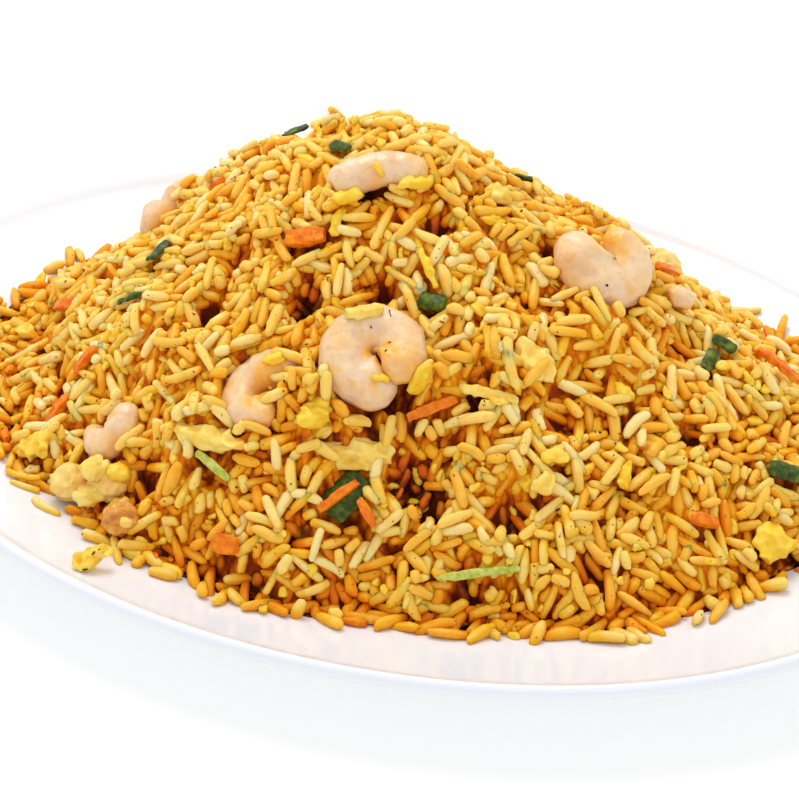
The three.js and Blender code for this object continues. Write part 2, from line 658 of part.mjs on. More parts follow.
// ---- Pockets in the heap ----

// An upright prism round a box, with this many sides, that clears what lies in it.
function pocketPrism(sides, [halfLength, halfWidth], bottom, top) {
  const corner = 1 / Math.cos(Math.PI / sides);
  const prism = new THREE.CylinderGeometry(1, 1, 1, sides, 1);
  prism.deleteAttribute('normal');
  prism.deleteAttribute('uv');
  prism.rotateX(Math.PI / 2).rotateZ(Math.PI / sides);
  prism.scale((halfLength + CLEARANCE) * corner, (halfWidth + CLEARANCE) * corner, top - bottom);
  prism.translate(0, 0, (top + bottom) / 2);
  return mergeVertices(prism);
}

// A curled shrimp's pocket is cut in two stretches, which share its middle third.
function shrimpPockets(item) {
  return [[0, 2 / 3], [1 / 3, 1]].map(([from, to]) => shrimpGeometry(item, SHRIMP_CLEARANCE, from, to));
}

function lumpPocket({ size: [length, width, thick], rough }) {
  const swell = (1 + rough) / 2;
  return pocketPrism(8, [length * swell, width * swell], -thick * swell - CLEARANCE, thick + POCKET_RISE);
}

function shredPocket({ size: [length, width, thick], bow }) {
  return pocketPrism(4, [length / 2, width / 2], -thick / 2 - CLEARANCE, thick + bow + POCKET_RISE);
}

function leafPocket({ size: [length, width, thick], curl }) {
  const half = THREE.MathUtils.degToRad(curl) / 2;
  const radius = width / (2 * half);
  const sag = radius * (1 - Math.cos(half)) + thick / 2;
  const halfWidth = (radius + thick / 2) * Math.sin(half);
  return pocketPrism(4, [length / 2, halfWidth], -sag - CLEARANCE, thick + POCKET_RISE);
}

// ---- Placing ----

// The frame of a topping: on the heap, turned about the way out and then tilted about its length.
function toppingMatrix({ bearing, down, turn, lift, tilt = 0 }) {
  const angle = THREE.MathUtils.degToRad(bearing);
  const { downhill, across, outward } = heapAxes(angle, down);
  const middle = heapPoint(angle, down).addScaledVector(outward, lift);
  return new THREE.Matrix4().makeBasis(downhill, across, outward).setPosition(middle)
    .multiply(new THREE.Matrix4().makeRotationZ(THREE.MathUtils.degToRad(turn)))
    .multiply(new THREE.Matrix4().makeRotationX(THREE.MathUtils.degToRad(tilt)));
}

function crumbMatrix({ x, y, turn, lift, size }) {
  return new THREE.Matrix4().makeTranslation(x, y, platterHeight(x, y) + size[2] / 2 + SEAT_GAP + lift)
    .multiply(new THREE.Matrix4().makeRotationZ(THREE.MathUtils.degToRad(turn)));
}

// Every topping with its kind, its shape, its pocket and its frame.
function listToppings() {
  return [
    ...SHRIMPS.map((item) => (
      { item, kind: 'shrimp', shape: shrimpGeometry(item), pockets: shrimpPockets(item) })),
    ...LUMPS.map((item, place) => (
      { item, kind: item.kind, shape: lumpGeometry(item, place + 1), pockets: [lumpPocket(item)] })),
    ...SHREDS.map((item) => (
      { item, kind: item.kind, shape: shredGeometry(item), pockets: [shredPocket(item)] })),
    ...LEAVES.map((item) => (
      { item, kind: 'scallion', shape: leafGeometry(item), pockets: [leafPocket(item)] })),
  ].map((topping) => ({ ...topping, matrix: toppingMatrix(topping.item) }));
}

function cookedSurface(colour) {
  return new THREE.MeshStandardMaterial({ color: colour, roughness: 0.45, metalness: 0 });
}

function namedMesh(name, geometry, material, matrix = new THREE.Matrix4()) {
  const mesh = new THREE.Mesh(geometry, material);
  mesh.name = name;
  matrix.decompose(mesh.position, mesh.quaternion, mesh.scale);
  return mesh;
}

// The heap with a pocket cut for each topping.
function riceGeometry(toppings) {
  let rice = solidFrom(heapGeometry(), new THREE.Matrix4());
  for (const { pockets, matrix } of toppings) {
    for (const pocket of pockets) {
      rice = rice.subtract(solidFrom(pocket, matrix));
    }
  }
  return geometryOfSolid(largestPiece(rice));
}

function buildFriedRice() {
  const group = new THREE.Group();
  const glaze = new THREE.MeshStandardMaterial({ color: COLOURS.glaze, roughness: 0.12, metalness: 0 });
  group.add(namedMesh('platter', platterGeometry(), glaze));

  const toppings = listToppings();
  group.add(namedMesh('rice', riceGeometry(toppings), cookedSurface(COLOURS.rice)));
  for (const { item, shape, kind, matrix } of toppings) {
    group.add(namedMesh(item.name, shape, cookedSurface(COLOURS[kind]), matrix));
  }
  const crumb = lumpGeometry(CRUMB, CRUMB.seed);
  group.add(namedMesh(CRUMB.name, crumb, cookedSurface(COLOURS.egg), crumbMatrix(CRUMB)));
  return group;
}

export default buildFriedRice();
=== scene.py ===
"""Shrimp fried rice heaped on a white oval platter: the looks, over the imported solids.

Lengths are in millimetres until a mesh is made. The grains are dropped one by one on a height
map of the heap, so that they rest on each other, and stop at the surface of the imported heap.
"""
import math

import bpy
import numpy as np
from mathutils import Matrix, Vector
from mathutils.bvhtree import BVHTree


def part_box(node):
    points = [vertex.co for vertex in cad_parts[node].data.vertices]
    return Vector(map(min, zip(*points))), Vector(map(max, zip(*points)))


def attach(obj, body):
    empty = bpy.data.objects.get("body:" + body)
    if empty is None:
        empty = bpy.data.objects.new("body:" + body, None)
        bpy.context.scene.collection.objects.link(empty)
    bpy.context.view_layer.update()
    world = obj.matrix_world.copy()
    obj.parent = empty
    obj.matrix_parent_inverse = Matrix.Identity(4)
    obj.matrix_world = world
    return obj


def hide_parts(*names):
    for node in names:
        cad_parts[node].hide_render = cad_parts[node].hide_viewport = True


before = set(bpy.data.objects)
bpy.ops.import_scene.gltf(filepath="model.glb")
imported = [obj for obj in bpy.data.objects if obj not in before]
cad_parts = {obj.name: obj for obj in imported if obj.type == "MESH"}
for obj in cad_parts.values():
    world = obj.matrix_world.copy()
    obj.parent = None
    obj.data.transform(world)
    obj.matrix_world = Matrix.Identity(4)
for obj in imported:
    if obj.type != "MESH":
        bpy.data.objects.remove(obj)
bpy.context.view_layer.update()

MM = 0.001
TINY = 1e-6
DOWN = Vector((0, 0, -1))

# ---- Camera: the photograph's view ----
IMAGE_WIDTH_PX = 799
FOCAL_PX = 2931
SENSOR_MM = 36
CAMERA_AZIMUTH = 23.1
CAMERA_ELEVATION = 36.6
CAMERA_DISTANCE = 700
CAMERA_TARGET = (5.6, -17.8, 30)
CLIP_START = 0.01

# ---- The platter's section, as in the solid ----
WELL_HEIGHT = 5.0
SLOPE_WIDTH = 46.0
SLOPE_POWER = 1.6
PLATTER_WALL = 3.6
FOOT_INSET = 52.0
FOOT_WIDTH = 5.0
PLATTER_STEPS = 240
RIM_HALVINGS = 30
# The foot ring's section from the middle outwards: inset and height, down from the well's underside.
UNDER_HEIGHT = WELL_HEIGHT - PLATTER_WALL
FOOT_OUTER = FOOT_INSET + FOOT_WIDTH
FOOT_RINGS = [
    (FOOT_OUTER + 1.0, UNDER_HEIGHT), (FOOT_OUTER + 0.3, 0.25), (FOOT_OUTER - 0.3, 0),
    (FOOT_INSET + 0.4, 0), (FOOT_INSET - 0.2, 0.3), (FOOT_INSET - 1.4, UNDER_HEIGHT),
]
UNDER_INSETS = (44, 3, 16)
LIP_RADIUS = (1.75, 1.8)
LIP_INSET = 0.1
LIP_TURNS = (-80, 100, 11)
TOP_INSETS = (4.2, SLOPE_WIDTH, 22)

# ---- Height maps ----
CELL = 0.5
SKY = 200
CLEARANCE = 5
RAY_STEPS = (500, 900, 0.25)
PROBE_CELLS = 3
MARGIN = 12.0
HEAP_PEAK = (-19.0, 24.0)
FILL_BLUR = 4.5
FORM_BLUR = 2.0
WIDE_BLUR = 8.0
RELIEF_GAIN = 0.8
RELIEF_LIMIT = 0.4
CRACK_DEPTH = 4.5
CRACK_SPACING = 17.0
CRACK_WIDTH = 0.1
CRACK_SEED = 61
CRACKED = (0.6, 1.6, 1.7, 62)
LUMPS = ((1.0, 8.0, 63), (0.9, 4.2, 65))
STRAY_BAND = 4.0
STRAY_NEAR = 0.16
STRAY_WEIGHT = 0.22
PIXELS_PER_MM = 4.25

# Small dark hollows, sunk into the heap and darkened at their bottom with painted shade: place and radius in
# the photo's pixels, and depth in millimetres.
HOLLOWS = [
    (512, 502, 14, 4.5), (480, 380, 11, 4.5), (436, 212, 14, 4.0), (308, 290, 13, 3.5), (380, 292, 11, 3.5),
    (210, 306, 9, 3.5), (548, 250, 10, 4.5), (588, 300, 9, 3.5), (626, 316, 9, 3.5), (412, 466, 17, 5.0),
    (434, 494, 10, 4.0), (250, 576, 10, 3.0), (590, 560, 12, 3.0), (150, 470, 9, 3.0), (300, 520, 10, 3.0),
    (640, 330, 8, 3.0), (470, 560, 10, 3.0), (690, 430, 9, 2.5), (560, 420, 9, 2.5), (240, 250, 9, 2.5),
]

HOLLOW_WIDTH = 1.25
HOLLOW_DEPTH = 1.5

# ---- Grains: half length and radius, and how the layers lie under the heap's surface ----
GRAIN_SEED = 7
WHOLE_GRAIN = ((3.5, 5.2), (1.22, 1.6))
BROKEN_GRAIN = ((1.7, 3.2), (1.2, 1.55))
BROKEN_SHARE = 0.2
# Where a grain feels the slope, as a share of its half length, and how it leans and pitches.
END_SHARE = 0.6
MOST_LEAN = 0.6
MOST_PITCH = 1.8
LOOSE_SHARE = 0.25
LOOSE_LEAN = 0.5
USUAL_LEAN = 0.12
PLATE_GAP = 0.3
STEEP_LIMIT = 1.6
# Bundles: how far apart their grains lie in radii, and how they slip and turn.
BUNDLE_GAP = 1.9
BUNDLE_SLIP = 1.8
BUNDLE_TURN = 0.16
BUNDLE_SHARE = 0.5
GRAIN_BLUNTNESS = 5.5
GRAIN_RINGS = (0.34, 0.84, 0.97)
GRAIN_SIDES = 7
# How the grains differ: each value is drawn up to this far either way.
GRAIN_TAPER = 0.16
GRAIN_BEND = 0.09
GRAIN_FLAT = (0.78, 1.0)
GRAIN_SLANT = 0.55
GRAIN_WAVES = ((3, 8), (0, 6))
GRAIN_KNOBS = 0.07
GRAIN_TONE = 0.16
TIP_TONE = 0.06
BASE_DEPTH = 4.8
RAIN_ATTEMPTS = 14000
PATIENCE = 700
CONTACT_SHARE = 0.66
FILL_SHARE = 0.42
SOFTNESS = 0.3
HANGING_GAP = 2.2
BESIDE_SHARE = 0.3
BARE_SHARE = 0.16
BALD_BLUR = 1.5
BALD_SHARE = 0.6
COVERED_SHARE = 0.42
SHRED_SHARE = 0.16
SHREDS = ("carrot", "scallion", "pale_scallion", "bright_egg")
FILLED_DEPTH = 3.4
# Grains heaped against a topping, in shares of the heap's radius, and how proud they may stand.
DUST_REACH = 1.6
DUST_WIDTH = 1.4
DUST_FILL = 2
DUST_SPARE = (0.0, 1.2)
# Pieces seen in the photo: the longest half length in pixels and in radii, and how far it sinks.
SEEN_LENGTH = 0.75
SEEN_RADII = 6
SEEN_SINK = 0.4
EMBED_BLUR = 3.0
EMBED_RISE = 5.0
EMBED_GAIN = 2.5
SKIN_BLUR = 1.0
SKIN_DEPTH = (1.5, 3.2)
SKIN_NOISE = (1.1, 13, 64)
# Painted shade, darker deeper in the gaps: the skin's blur and lift, the hollows' blur, most and weight, the
# depth that shades fully and the most shade from it.
SHADE_BLUR = 2.0
SHADE_LIFT = 0.7
HOLLOW_BLUR = 8.0
HOLLOW_LIMIT = 3
HOLLOW_SHADE = 0.6
SHADE_DEPTH = 6.0
SHADED = 0.77
# Painted shade at the bottom of the sunk hollows: the depth that darkens fully, and how much.
DARK_DEPTH = 4.5
DARK_SHARE = 0.4
# Painted shade, darker towards the bottom of the heap: how much, and the height below which it grows.
LOW_SHADE = 0.1
LOW_HEIGHT = 30.0

# ---------------------------------------------------------------- noise and arrays

def lattice(cells, seed):
    """A pseudo-random value from 0 to 1 for each whole-number cell."""
    mixed = cells[..., 0] * 374761393 + cells[..., 1] * 668265263 + cells[..., 2] * 2147483647 + seed * 144269
    mixed = (mixed ^ (mixed >> 13)) * 1274126177
    mixed = mixed ^ (mixed >> 16)
    return (mixed & 0xFFFFFF) / float(0xFFFFFF)


def noise(points, size, seed=0):
    """Smooth noise from -1 to 1, with lumps of about the given size."""
    place = np.asarray(points, float) / size
    base = np.floor(place).astype(np.int64)
    part = place - base
    part = part * part * (3 - 2 * part)
    total = 0.0
    for corner in range(8):
        step = np.array([corner & 1, corner >> 1 & 1, corner >> 2 & 1])
        weight = np.prod(np.where(step, part, 1 - part), axis=-1)
        total = total + weight * lattice(base + step, seed)
    return total * 2 - 1


def unit(vectors):
    return vectors / np.maximum(np.linalg.norm(vectors, axis=-1, keepdims=True), 1e-12)


def blur(image, sigma_cells):
    """A Gaussian blur by rows and columns."""
    reach = int(3 * sigma_cells) + 1
    kernel = np.exp(-0.5 * (np.arange(-reach, reach + 1) / sigma_cells) ** 2)
    kernel /= kernel.sum()
    for axis in (0, 1):
        image = np.apply_along_axis(lambda line: np.convolve(line, kernel, mode="same"), axis, image)
    return image


# ---------------------------------------------------------------- meshes

def add_object(name, data):
    made = bpy.data.objects.new(name, data)
    bpy.context.scene.collection.objects.link(made)
    return made


def mesh_object(name, points, faces, material, replaced=(), values=None):
    """Makes a piece from points in millimetres and faces given as arrays of one size each."""
    mesh = bpy.data.meshes.new(name)
    points = np.asarray(points, float)
    groups = [np.asarray(group, np.int64) for group in faces if len(group)]
    mesh.vertices.add(len(points))
    mesh.vertices.foreach_set("co", (points * MM).ravel())
    corners = np.concatenate([group.ravel() for group in groups])
    counts = np.concatenate([np.full(len(group), group.shape[1]) for group in groups])
    mesh.loops.add(len(corners))
    mesh.loops.foreach_set("vertex_index", corners)
    mesh.polygons.add(len(counts))
    mesh.polygons.foreach_set("loop_start", np.concatenate([[0], np.cumsum(counts)[:-1]]))
    mesh.polygons.foreach_set("use_smooth", np.full(len(counts), True))
    mesh.update(calc_edges=True)
    for key, data in (values or {}).items():
        layer = mesh.attributes.new(key, "FLOAT", "POINT")
        layer.data.foreach_set("value", np.asarray(data, np.float32))
    mesh.materials.append(material)
    piece = add_object(name, mesh)
    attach(piece, "root")
    if replaced:
        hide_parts(*replaced)
    return piece


def grid_faces(rows, columns):
    """Quads of a grid of points, row by row; the columns close on themselves."""
    row, column = np.meshgrid(np.arange(rows - 1), np.arange(columns), indexing="ij")
    right = (column + 1) % columns
    return np.stack([row * columns + column, row * columns + right,
                     (row + 1) * columns + right, (row + 1) * columns + column], -1).reshape(-1, 4)


def fan(hub, first, second):
    """Triangles from one point to each pair of points."""
    return np.stack([np.full(len(first), hub), first, second], -1)


def ring_steps(count):
    """The points round a ring, and the point after each."""
    step = np.arange(count)
    return step, (step + 1) % count


def node_points(name):
    """The node's corners in millimetres, and its triangles."""
    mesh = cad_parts[name].data
    points = np.empty(len(mesh.vertices) * 3)
    mesh.vertices.foreach_get("co", points)
    mesh.calc_loop_triangles()
    triangles = np.empty(len(mesh.loop_triangles) * 3, np.int32)
    mesh.loop_triangles.foreach_get("vertices", triangles)
    return points.reshape(-1, 3) / MM, triangles.reshape(-1, 3)


def node_box(name):
    low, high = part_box(name)
    return np.array(low) / MM, np.array(high) / MM


def search_tree(points, triangles):
    return BVHTree.FromPolygons([tuple(point) for point in points], [tuple(face) for face in triangles])


# ---------------------------------------------------------------- the platter's form

PLATTER_HIGH = node_box("platter")[1]


def rim_inset(x, y):
    """How far inside the rim's ellipse each point lies."""
    near = np.zeros(np.shape(x))
    far = np.full(np.shape(x), PLATTER_HIGH[1] - 1)
    for _ in range(RIM_HALVINGS):
        middle = (near + far) / 2
        inside = np.hypot(x / (PLATTER_HIGH[0] - middle), y / (PLATTER_HIGH[1] - middle)) < 1
        near = np.where(inside, middle, near)
        far = np.where(inside, far, middle)
    return near


def inside_height(inset):
    climb = np.clip((SLOPE_WIDTH - inset) / SLOPE_WIDTH, 0, 1)
    return WELL_HEIGHT + (PLATTER_HIGH[2] - WELL_HEIGHT) * climb ** SLOPE_POWER


def platter_rings():
    """Inset and height of each ring, from the middle underneath, round the lip, to the well."""
    top = PLATTER_HIGH[2]
    rings = FOOT_RINGS + [(inset, float(inside_height(inset)) - PLATTER_WALL)
                          for inset in np.linspace(*UNDER_INSETS)]
    wide, high = LIP_RADIUS
    for turn in np.linspace(*LIP_TURNS):
        angle = math.radians(turn)
        rings.append((wide - wide * math.cos(angle) + LIP_INSET, top - high + high * math.sin(angle)))
    rings += [(inset, float(inside_height(inset))) for inset in np.linspace(*TOP_INSETS)]
    return rings


def make_platter():
    rings = platter_rings()
    angle = np.linspace(0, 2 * np.pi, PLATTER_STEPS, endpoint=False)
    points = [np.stack([(PLATTER_HIGH[0] - inset) * np.cos(angle), (PLATTER_HIGH[1] - inset) * np.sin(angle),
                        np.full(PLATTER_STEPS, height)], -1) for inset, height in rings]
    points = np.concatenate(points + [[[0, 0, UNDER_HEIGHT], [0, 0, WELL_HEIGHT]]])
    step, ahead = ring_steps(PLATTER_STEPS)
    last = (len(rings) - 1) * PLATTER_STEPS
    under = fan(len(points) - 2, ahead, step)
    well = fan(len(points) - 1, last + step, last + ahead)
    mesh_object("platter_glazed", points, [grid_faces(len(rings), PLATTER_STEPS), under, well],
                glaze_material(), ["platter"])


# ---------------------------------------------------------------- materials

# The core's long cells: their size in millimetres, and how each of the two sets is turned.
CORE_GRAIN = (2.8, 2.8, 8.0)
CORE_GRAIN_TURNS = ((1.3, 0.4, 0.2), (0.6, 1.4, 1.1))

def linear(colour):
    """sRGB from 0 to 255 as linear light."""
    value = np.asarray(colour, float) / 255
    return tuple(np.where(value <= 0.04045, value / 12.92, ((value + 0.055) / 1.055) ** 2.4))


# The mix node's inputs for the factor and for two colours.
MIX_SOCKETS = (0, 6, 7)


class Paint:
    """A material with a Principled shader, and short calls for the nodes that feed it."""

    def __init__(self, name):
        self.material = bpy.data.materials.new(name)
        self.material.use_nodes = True
        self.nodes = self.material.node_tree.nodes
        self.shader = self.nodes["Principled BSDF"]

    def feed(self, socket, source):
        """Links a socket to another, or sets its value."""
        if isinstance(source, bpy.types.NodeSocket):
            self.material.node_tree.links.new(source, socket)
        else:
            socket.default_value = source

    def add(self, kind, feeds, **settings):
        """A new node with its settings and what feeds it, by the name or number of each input."""
        made = self.nodes.new("ShaderNode" + kind)
        for key, value in settings.items():
            setattr(made, key, value)
        for key, source in feeds.items():
            self.feed(made.inputs[key], source)
        return made

    def set(self, **values):
        """Feeds the shader: the inputs' names are written with _ for a space."""
        for key, source in values.items():
            self.feed(self.shader.inputs[key.replace("_", " ")], source)

    def place(self):
        return self.add("TexCoord", {}).outputs["Object"]

    def noise(self, size_mm, detail=3.0, roughness=0.55):
        feeds = {"Vector": self.place(), "Scale": 1 / (size_mm * MM), "Detail": detail,
                 "Roughness": roughness}
        return self.add("TexNoise", feeds).outputs["Fac"]

    def attribute(self, key):
        return self.add("Attribute", {}, attribute_name=key).outputs["Fac"]

    def math(self, operation, *feeds, clamp=False):
        return self.add("Math", dict(enumerate(feeds)), operation=operation, use_clamp=clamp).outputs[0]

    def stretch(self, source, low, high, new_low=0.0, new_high=1.0):
        """Takes a range of values to a new range."""
        feeds = {"Value": source, "From Min": low, "From Max": high, "To Min": new_low, "To Max": new_high}
        return self.add("MapRange", feeds).outputs["Result"]

    def ramp(self, source, stops):
        made = self.add("ValToRGB", {"Fac": source})
        elements = made.color_ramp.elements
        while len(elements) < len(stops):
            elements.new(0.5)
        for element, (place, colour) in zip(elements, stops):
            element.position = place
            element.color = (*linear(colour), 1)
        return made.outputs["Color"]

    def mix(self, factor, *colours):
        """Mixes two colours, each given as a socket or as sRGB."""
        first, second = (colour if isinstance(colour, bpy.types.NodeSocket) else (*linear(colour), 1)
                         for colour in colours)
        made = self.add("Mix", {}, data_type="RGBA")
        for key, source in zip(MIX_SOCKETS, (factor, first, second)):
            self.feed(made.inputs[key], source)
        return made.outputs[2]

    def bump(self, height, distance_mm, strength=1.0):
        feeds = {"Height": height, "Distance": distance_mm * MM, "Strength": strength}
        self.set(Normal=self.add("Bump", feeds).outputs["Normal"])

    def food(self, roughness, flesh, flesh_mm, specular=0.35, coat=0.3, coat_roughness=0.18):
        """The gloss of a thin film of oil, and light that spreads inside the food."""
        self.set(Roughness=roughness, Subsurface_Weight=flesh, Subsurface_Radius=FLESH_RADIUS,
                 Subsurface_Scale=flesh_mm * MM, Coat_Weight=coat, Coat_Roughness=coat_roughness,
                 Specular_IOR_Level=specular)


def glaze_material():
    paint = Paint("white_glaze")
    paint.set(Base_Color=paint.mix(paint.noise(35, 2), *GLAZE_COLOURS), Roughness=0.16,
              Coat_Weight=0.4, Coat_Roughness=0.05)
    paint.bump(paint.noise(12, 1), distance_mm=0.05, strength=0.3)
    return paint.material


def grain_material(name, stops):
    """Cooked rice: painted shade, paler outside than in the gaps, with patches of yellow sauce and a few
    specks.
    """
    paint = Paint(name)
    patch = paint.stretch(paint.noise(3.2, 2), 0.3, 0.7, -0.1, 0.1)
    # The ramp turns the deep value into painted shade, lit at the outside and shaded in the gaps; the patch
    # is a random tone.
    colour = paint.ramp(paint.math("ADD", paint.attribute("deep"), patch), stops)
    sauce = paint.stretch(paint.noise(10, 2), 0.5, 0.72, 0.0, 0.6)
    specks = paint.stretch(paint.noise(1.1, 1), 0.71, 0.77)
    paint.set(Base_Color=paint.mix(specks, paint.mix(sauce, colour, SAUCE_COLOUR), SPECK_COLOUR))
    paint.food(roughness=0.42, flesh=0.7, flesh_mm=2.6, specular=0.16, coat=0.0)
    return paint.material


def core_material():
    """The sticky mass of broken rice and egg that shows between the grains, as two crossing sets
    of long packed cells, with painted shade: darker with depth and in the gaps between the cells."""
    paint = Paint("sauced_rice_core")
    place = paint.place()
    distances = []
    for turn in CORE_GRAIN_TURNS:
        mapping = paint.add("Mapping", {"Vector": place, "Rotation": turn,
                                        "Scale": [1 / (size * MM) for size in CORE_GRAIN]})
        cells = paint.add("TexVoronoi", {"Vector": mapping.outputs["Vector"], "Scale": 1.0})
        distances.append(cells.outputs["Distance"])
    gap = paint.math("MINIMUM", *distances)
    # Painted shade: darker with depth and towards the gaps between the cells.
    painted_core_shade = paint.math("ADD", paint.attribute("deep"), paint.stretch(gap, 0.15, 0.6, -0.2, 0.3))
    patch = paint.stretch(paint.noise(2.6, 2), 0.3, 0.7, -0.14, 0.14)
    paint.set(Base_Color=paint.ramp(paint.math("ADD", painted_core_shade, patch), list(zip(CORE_PLACES, CORE_COLOURS))))
    paint.food(roughness=0.6, flesh=0.0, flesh_mm=1.5, specular=0.1, coat=0.0)
    paint.bump(paint.stretch(gap, 0.1, 0.6, 1.0, 0.0), distance_mm=1.4)
    return paint.material


def food_material(name, stops, patch_mm, roughness=0.4, flesh=0.3, flesh_mm=2.5, grain_mm=0.8,
                  bump=0.15, coat=0.3):
    """Food with patches of a few colours and a fine grain."""
    paint = Paint(name)
    paint.set(Base_Color=paint.ramp(paint.noise(patch_mm, 4, 0.6), stops))
    paint.food(roughness, flesh, flesh_mm, specular=0.25, coat=coat)
    paint.bump(paint.noise(grain_mm, 4), distance_mm=bump, strength=0.8)
    return paint.material


def shrimp_material():
    """Translucent flesh with faint pink bands on the segments, stained by the sauce below, with painted shade
    in the outer ring round the front shrimp's tail.
    """
    paint = Paint("cooked_shrimp")
    mottle = paint.ramp(paint.noise(5.5, 4), SHRIMP_STOPS)
    streaks = paint.stretch(paint.noise(1.6, 4), 0.35, 0.75, 0.0, 0.7)
    banded = paint.mix(paint.math("MULTIPLY", paint.attribute("band"), streaks), mottle, SHRIMP_BAND)
    veins = paint.stretch(paint.noise(2.2, 5, 0.7), 0.56, 0.66, 0.0, 0.4)
    veined = paint.mix(veins, banded, SHRIMP_VEIN)
    patch = paint.stretch(paint.noise(6, 4), 0.42, 0.72, -0.1, 0.6)
    # This value is sauce stain, with painted shade in the front shrimp's outer tail ring.
    stain_and_shade = paint.math("MULTIPLY_ADD", paint.attribute("stain_and_shade"), 0.7, patch, clamp=True)
    paint.set(Base_Color=paint.mix(stain_and_shade, veined, SHRIMP_STAIN_AND_SHADE))
    paint.food(roughness=0.34, flesh=0.5, flesh_mm=3.5, coat=0.2, coat_roughness=0.2)
    paint.bump(paint.noise(0.9, 4), distance_mm=0.2, strength=0.7)
    return paint.material


FLESH_RADIUS = (1.0, 0.72, 0.4)
GLAZE_COLOURS = ((240, 244, 250), (237, 240, 246))
SAUCE_COLOUR = (244, 178, 34)
SPECK_COLOUR = (150, 78, 22)
SHRIMP_STOPS = [(0.3, (226, 188, 148)), (0.5, (237, 209, 172)), (0.72, (238, 198, 126))]
SHRIMP_BAND = (232, 170, 128)
SHRIMP_VEIN = (226, 160, 96)
SHRIMP_STAIN_AND_SHADE = (242, 180, 76)
EGG_STOPS = [(0.28, (236, 170, 40)), (0.45, (250, 200, 52)), (0.6, (255, 216, 84)), (0.8, (255, 232, 150))]
BRIGHT_EGG_STOPS = [(0.3, (244, 178, 26)), (0.5, (252, 206, 46)), (0.75, (253, 224, 100))]
PALE_EGG_STOPS = [(0.28, (243, 186, 58)), (0.5, (252, 216, 102)), (0.75, (255, 232, 142))]
CHICKEN_STOPS = [(0.25, (231, 166, 66)), (0.48, (248, 209, 112)), (0.7, (252, 225, 146))]
BROWN_CHICKEN_STOPS = [(0.25, (180, 100, 24)), (0.5, (220, 148, 48)), (0.75, (240, 190, 92))]
CARROT_STOPS = [(0.3, (214, 88, 0)), (0.5, (236, 122, 0)), (0.75, (246, 158, 4))]
SCALLION_STOPS = [(0.3, (32, 44, 0)), (0.5, (62, 82, 0)), (0.72, (120, 130, 4))]
PEPPER_STOPS = [(0.3, (28, 16, 8)), (0.55, (62, 36, 16)), (0.75, (110, 66, 24))]
PALE_SCALLION_STOPS = [(0.3, (150, 168, 40)), (0.5, (196, 200, 84)), (0.75, (226, 222, 140))]

MEAT = dict(patch_mm=4.0, roughness=0.42, flesh_mm=2.5, grain_mm=1.2, bump=0.25)
MATERIALS = {
    "shrimp": shrimp_material(),
    "egg": food_material("cooked_egg", EGG_STOPS, 3.5, coat=0.12),
    "bright_egg": food_material("bright_egg", BRIGHT_EGG_STOPS, 3.0, coat=0.12),
    "pale_egg": food_material("pale_egg", PALE_EGG_STOPS, 4.0, coat=0.12),
    "chicken": food_material("pale_chicken", CHICKEN_STOPS, **MEAT),
    "brown_chicken": food_material("brown_chicken", BROWN_CHICKEN_STOPS, **MEAT),
    "carrot": food_material("cooked_carrot", CARROT_STOPS, 2.2, flesh=0.15, flesh_mm=1.6, grain_mm=0.7,
                            bump=0.2, coat=0.02),
    "scallion": food_material("dark_scallion", SCALLION_STOPS, 2.0, flesh=0.05, flesh_mm=0.8, grain_mm=0.6,
                              coat=0.05),
    "pale_scallion": food_material("pale_scallion", PALE_SCALLION_STOPS, 1.8, roughness=0.34, flesh=0.2,
                                   flesh_mm=1.0, grain_mm=0.6, bump=0.1),
    "pepper": food_material("ground_pepper", PEPPER_STOPS, 0.8, roughness=0.6, flesh=0.0, flesh_mm=1.0,
                            grain_mm=0.3, bump=0.05, coat=0.0),
}


# ---------------------------------------------------------------- the photo's view

def camera_axes():
    """From the target to the camera, to the picture's right, and to its top."""
    azimuth, elevation = math.radians(CAMERA_AZIMUTH), math.radians(CAMERA_ELEVATION)
    back = np.array([math.sin(azimuth) * math.cos(elevation), -math.cos(azimuth) * math.cos(elevation),
                     math.sin(elevation)])
    right = np.array([math.cos(azimuth), math.sin(azimuth), 0])
    return back, right, np.cross(back, right)


# ---------------------------------------------------------------- height maps

